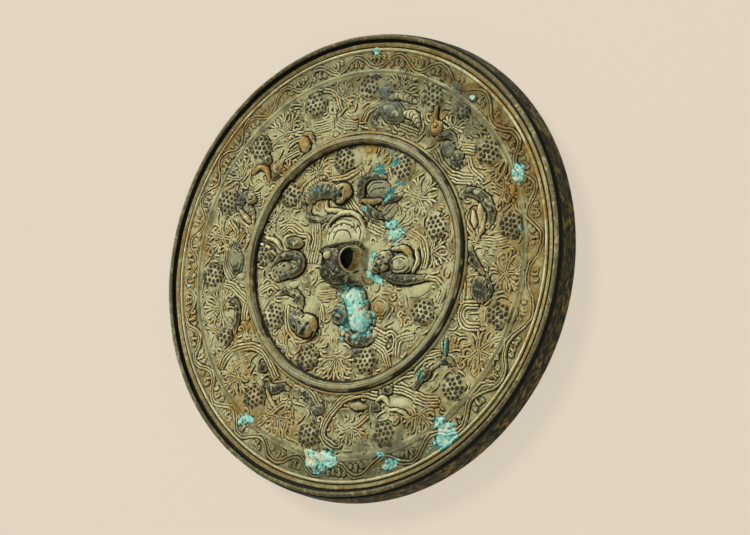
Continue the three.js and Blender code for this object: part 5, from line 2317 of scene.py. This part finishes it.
@dataclass(frozen=True)
class Studio:
    """Soft lamps, an even surround and the camera that looks down on the mirror."""

    lamps: tuple[Lamp, ...] = (
        Lamp("key", (-0.62, 0.62, 0.66), 3.4, 18.0, (1.0, 0.995, 0.95)),
        Lamp("fill", (0.6, -0.35, 1.0), 0.75, 40.0),
    )
    surround: Colour = (0.73, 0.74, 0.71, 1.0)
    surround_strength: float = 0.3
    eye: Place = (0.38473, -0.12624, 0.56362)  # where the camera stands, in metres from the mirror
    look: Place = (-0.550376, 0.181494, -0.814951)
    up: Place = (0.061552, 0.982251, 0.177183)
    lens: float = 90.758
    sensor: float = 36.0

    def build(self, middle: Vector) -> None:
        """Makes the surround, the lamps and the camera.

        Args:
            middle: Where the mirror's own origin stands, in metres.
        """
        world = bpy.data.worlds.new("surround")
        world.use_nodes = True
        sky = world.node_tree.nodes["Background"]
        sky.inputs["Color"].default_value = self.surround
        sky.inputs["Strength"].default_value = self.surround_strength
        bpy.context.scene.world = world
        for lamp in self.lamps:
            lamp.hang()
        look, up = Vector(self.look).normalized(), Vector(self.up).normalized()
        right = look.cross(up).normalized()
        camera = bpy.data.cameras.new("camera")
        camera.sensor_fit = "HORIZONTAL"
        camera.sensor_width = self.sensor
        camera.lens = self.lens
        bpy.context.scene.view_settings.view_transform = "Standard"
        stand = bpy.data.objects.new("camera", camera)
        turn = Matrix((right, right.cross(look), -look)).transposed()
        stand.matrix_world = Matrix.Translation(middle + Vector(self.eye)) @ turn.to_4x4()
        bpy.context.scene.collection.objects.link(stand)
        bpy.context.scene.camera = stand


# The whole mirror.


@dataclass(frozen=True)
class Mirror:
    """The mirror: a plate with its rim, three zones of relief and the knob."""

    floor: float = FLOOR
    seat: float = 6.9  # how deep the zones of relief reach into the plate
    disc: float = 44.0  # radius of the field of beasts
    disc_cells: int = 308
    plate: float = 80.6  # radius of the plate inside the rim
    zones: tuple[tuple[str, float, float, int, int], ...] = (  # name, radii, corners round, rings
        ("ridge_ring", 44.0, 49.2, 1240, 24),
        ("field_of_birds_inner", 49.2, 60.0, 1560, 50),
        ("field_of_birds_outer", 60.0, 70.6, 1800, 48),
        ("vine_scroll_band", 70.6, 80.6, 1860, 46),
    )

    def build(self, relief: Relief, finish: bpy.types.Material, origin: Vector,
              face: float) -> list[bpy.types.Object]:
        """Makes every piece of the mirror and dresses it.

        Args:
            relief: The finished relief.
            finish: The bronze's material.
            origin: Where the mirror's own origin stands, in metres.
            face: The radius of the polished face, in millimetres.

        Returns:
            The pieces.
        """
        beasts = FieldDisc(self.disc, self.disc_cells, self.seat)
        surfaces = {"field_of_beasts": beasts.build(relief, self.floor)}
        for name, inner, outer, around, rings in self.zones:
            surfaces[name] = FieldRing(inner, outer, around, rings, self.seat).build(relief, self.floor)
        surfaces["rim_and_face"] = RimAndFace(face, self.plate, self.seat).build(relief, self.floor)
        surfaces["knob_beast"] = KnobBeast().build()
        pieces = []
        for name, surface in surfaces.items():
            piece = surface.to_object(name, origin)
            piece.data.materials.append(finish)
            pieces.append(piece)
        return pieces


def main() -> None:
    """Builds the mirror round the CAD frame, then the studio."""
    logging.basicConfig(level=logging.INFO, format="%(message)s")
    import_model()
    low, high = (Vector(corner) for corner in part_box(NODE))
    origin = Vector(((low.x + high.x) / 2, (low.y + high.y) / 2, low.z))
    face = (high.x - low.x) / 2 / MM
    relief = CastBack().model()
    for piece in Mirror().build(relief, Patina().dress("bronze"), origin, face):
        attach(piece, "root")
        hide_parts(NODE)
        log.info("dressed %s", piece.name)
    Backdrop().build(low.z)
    Studio().build(origin)


if __name__ == "__main__":
    main()
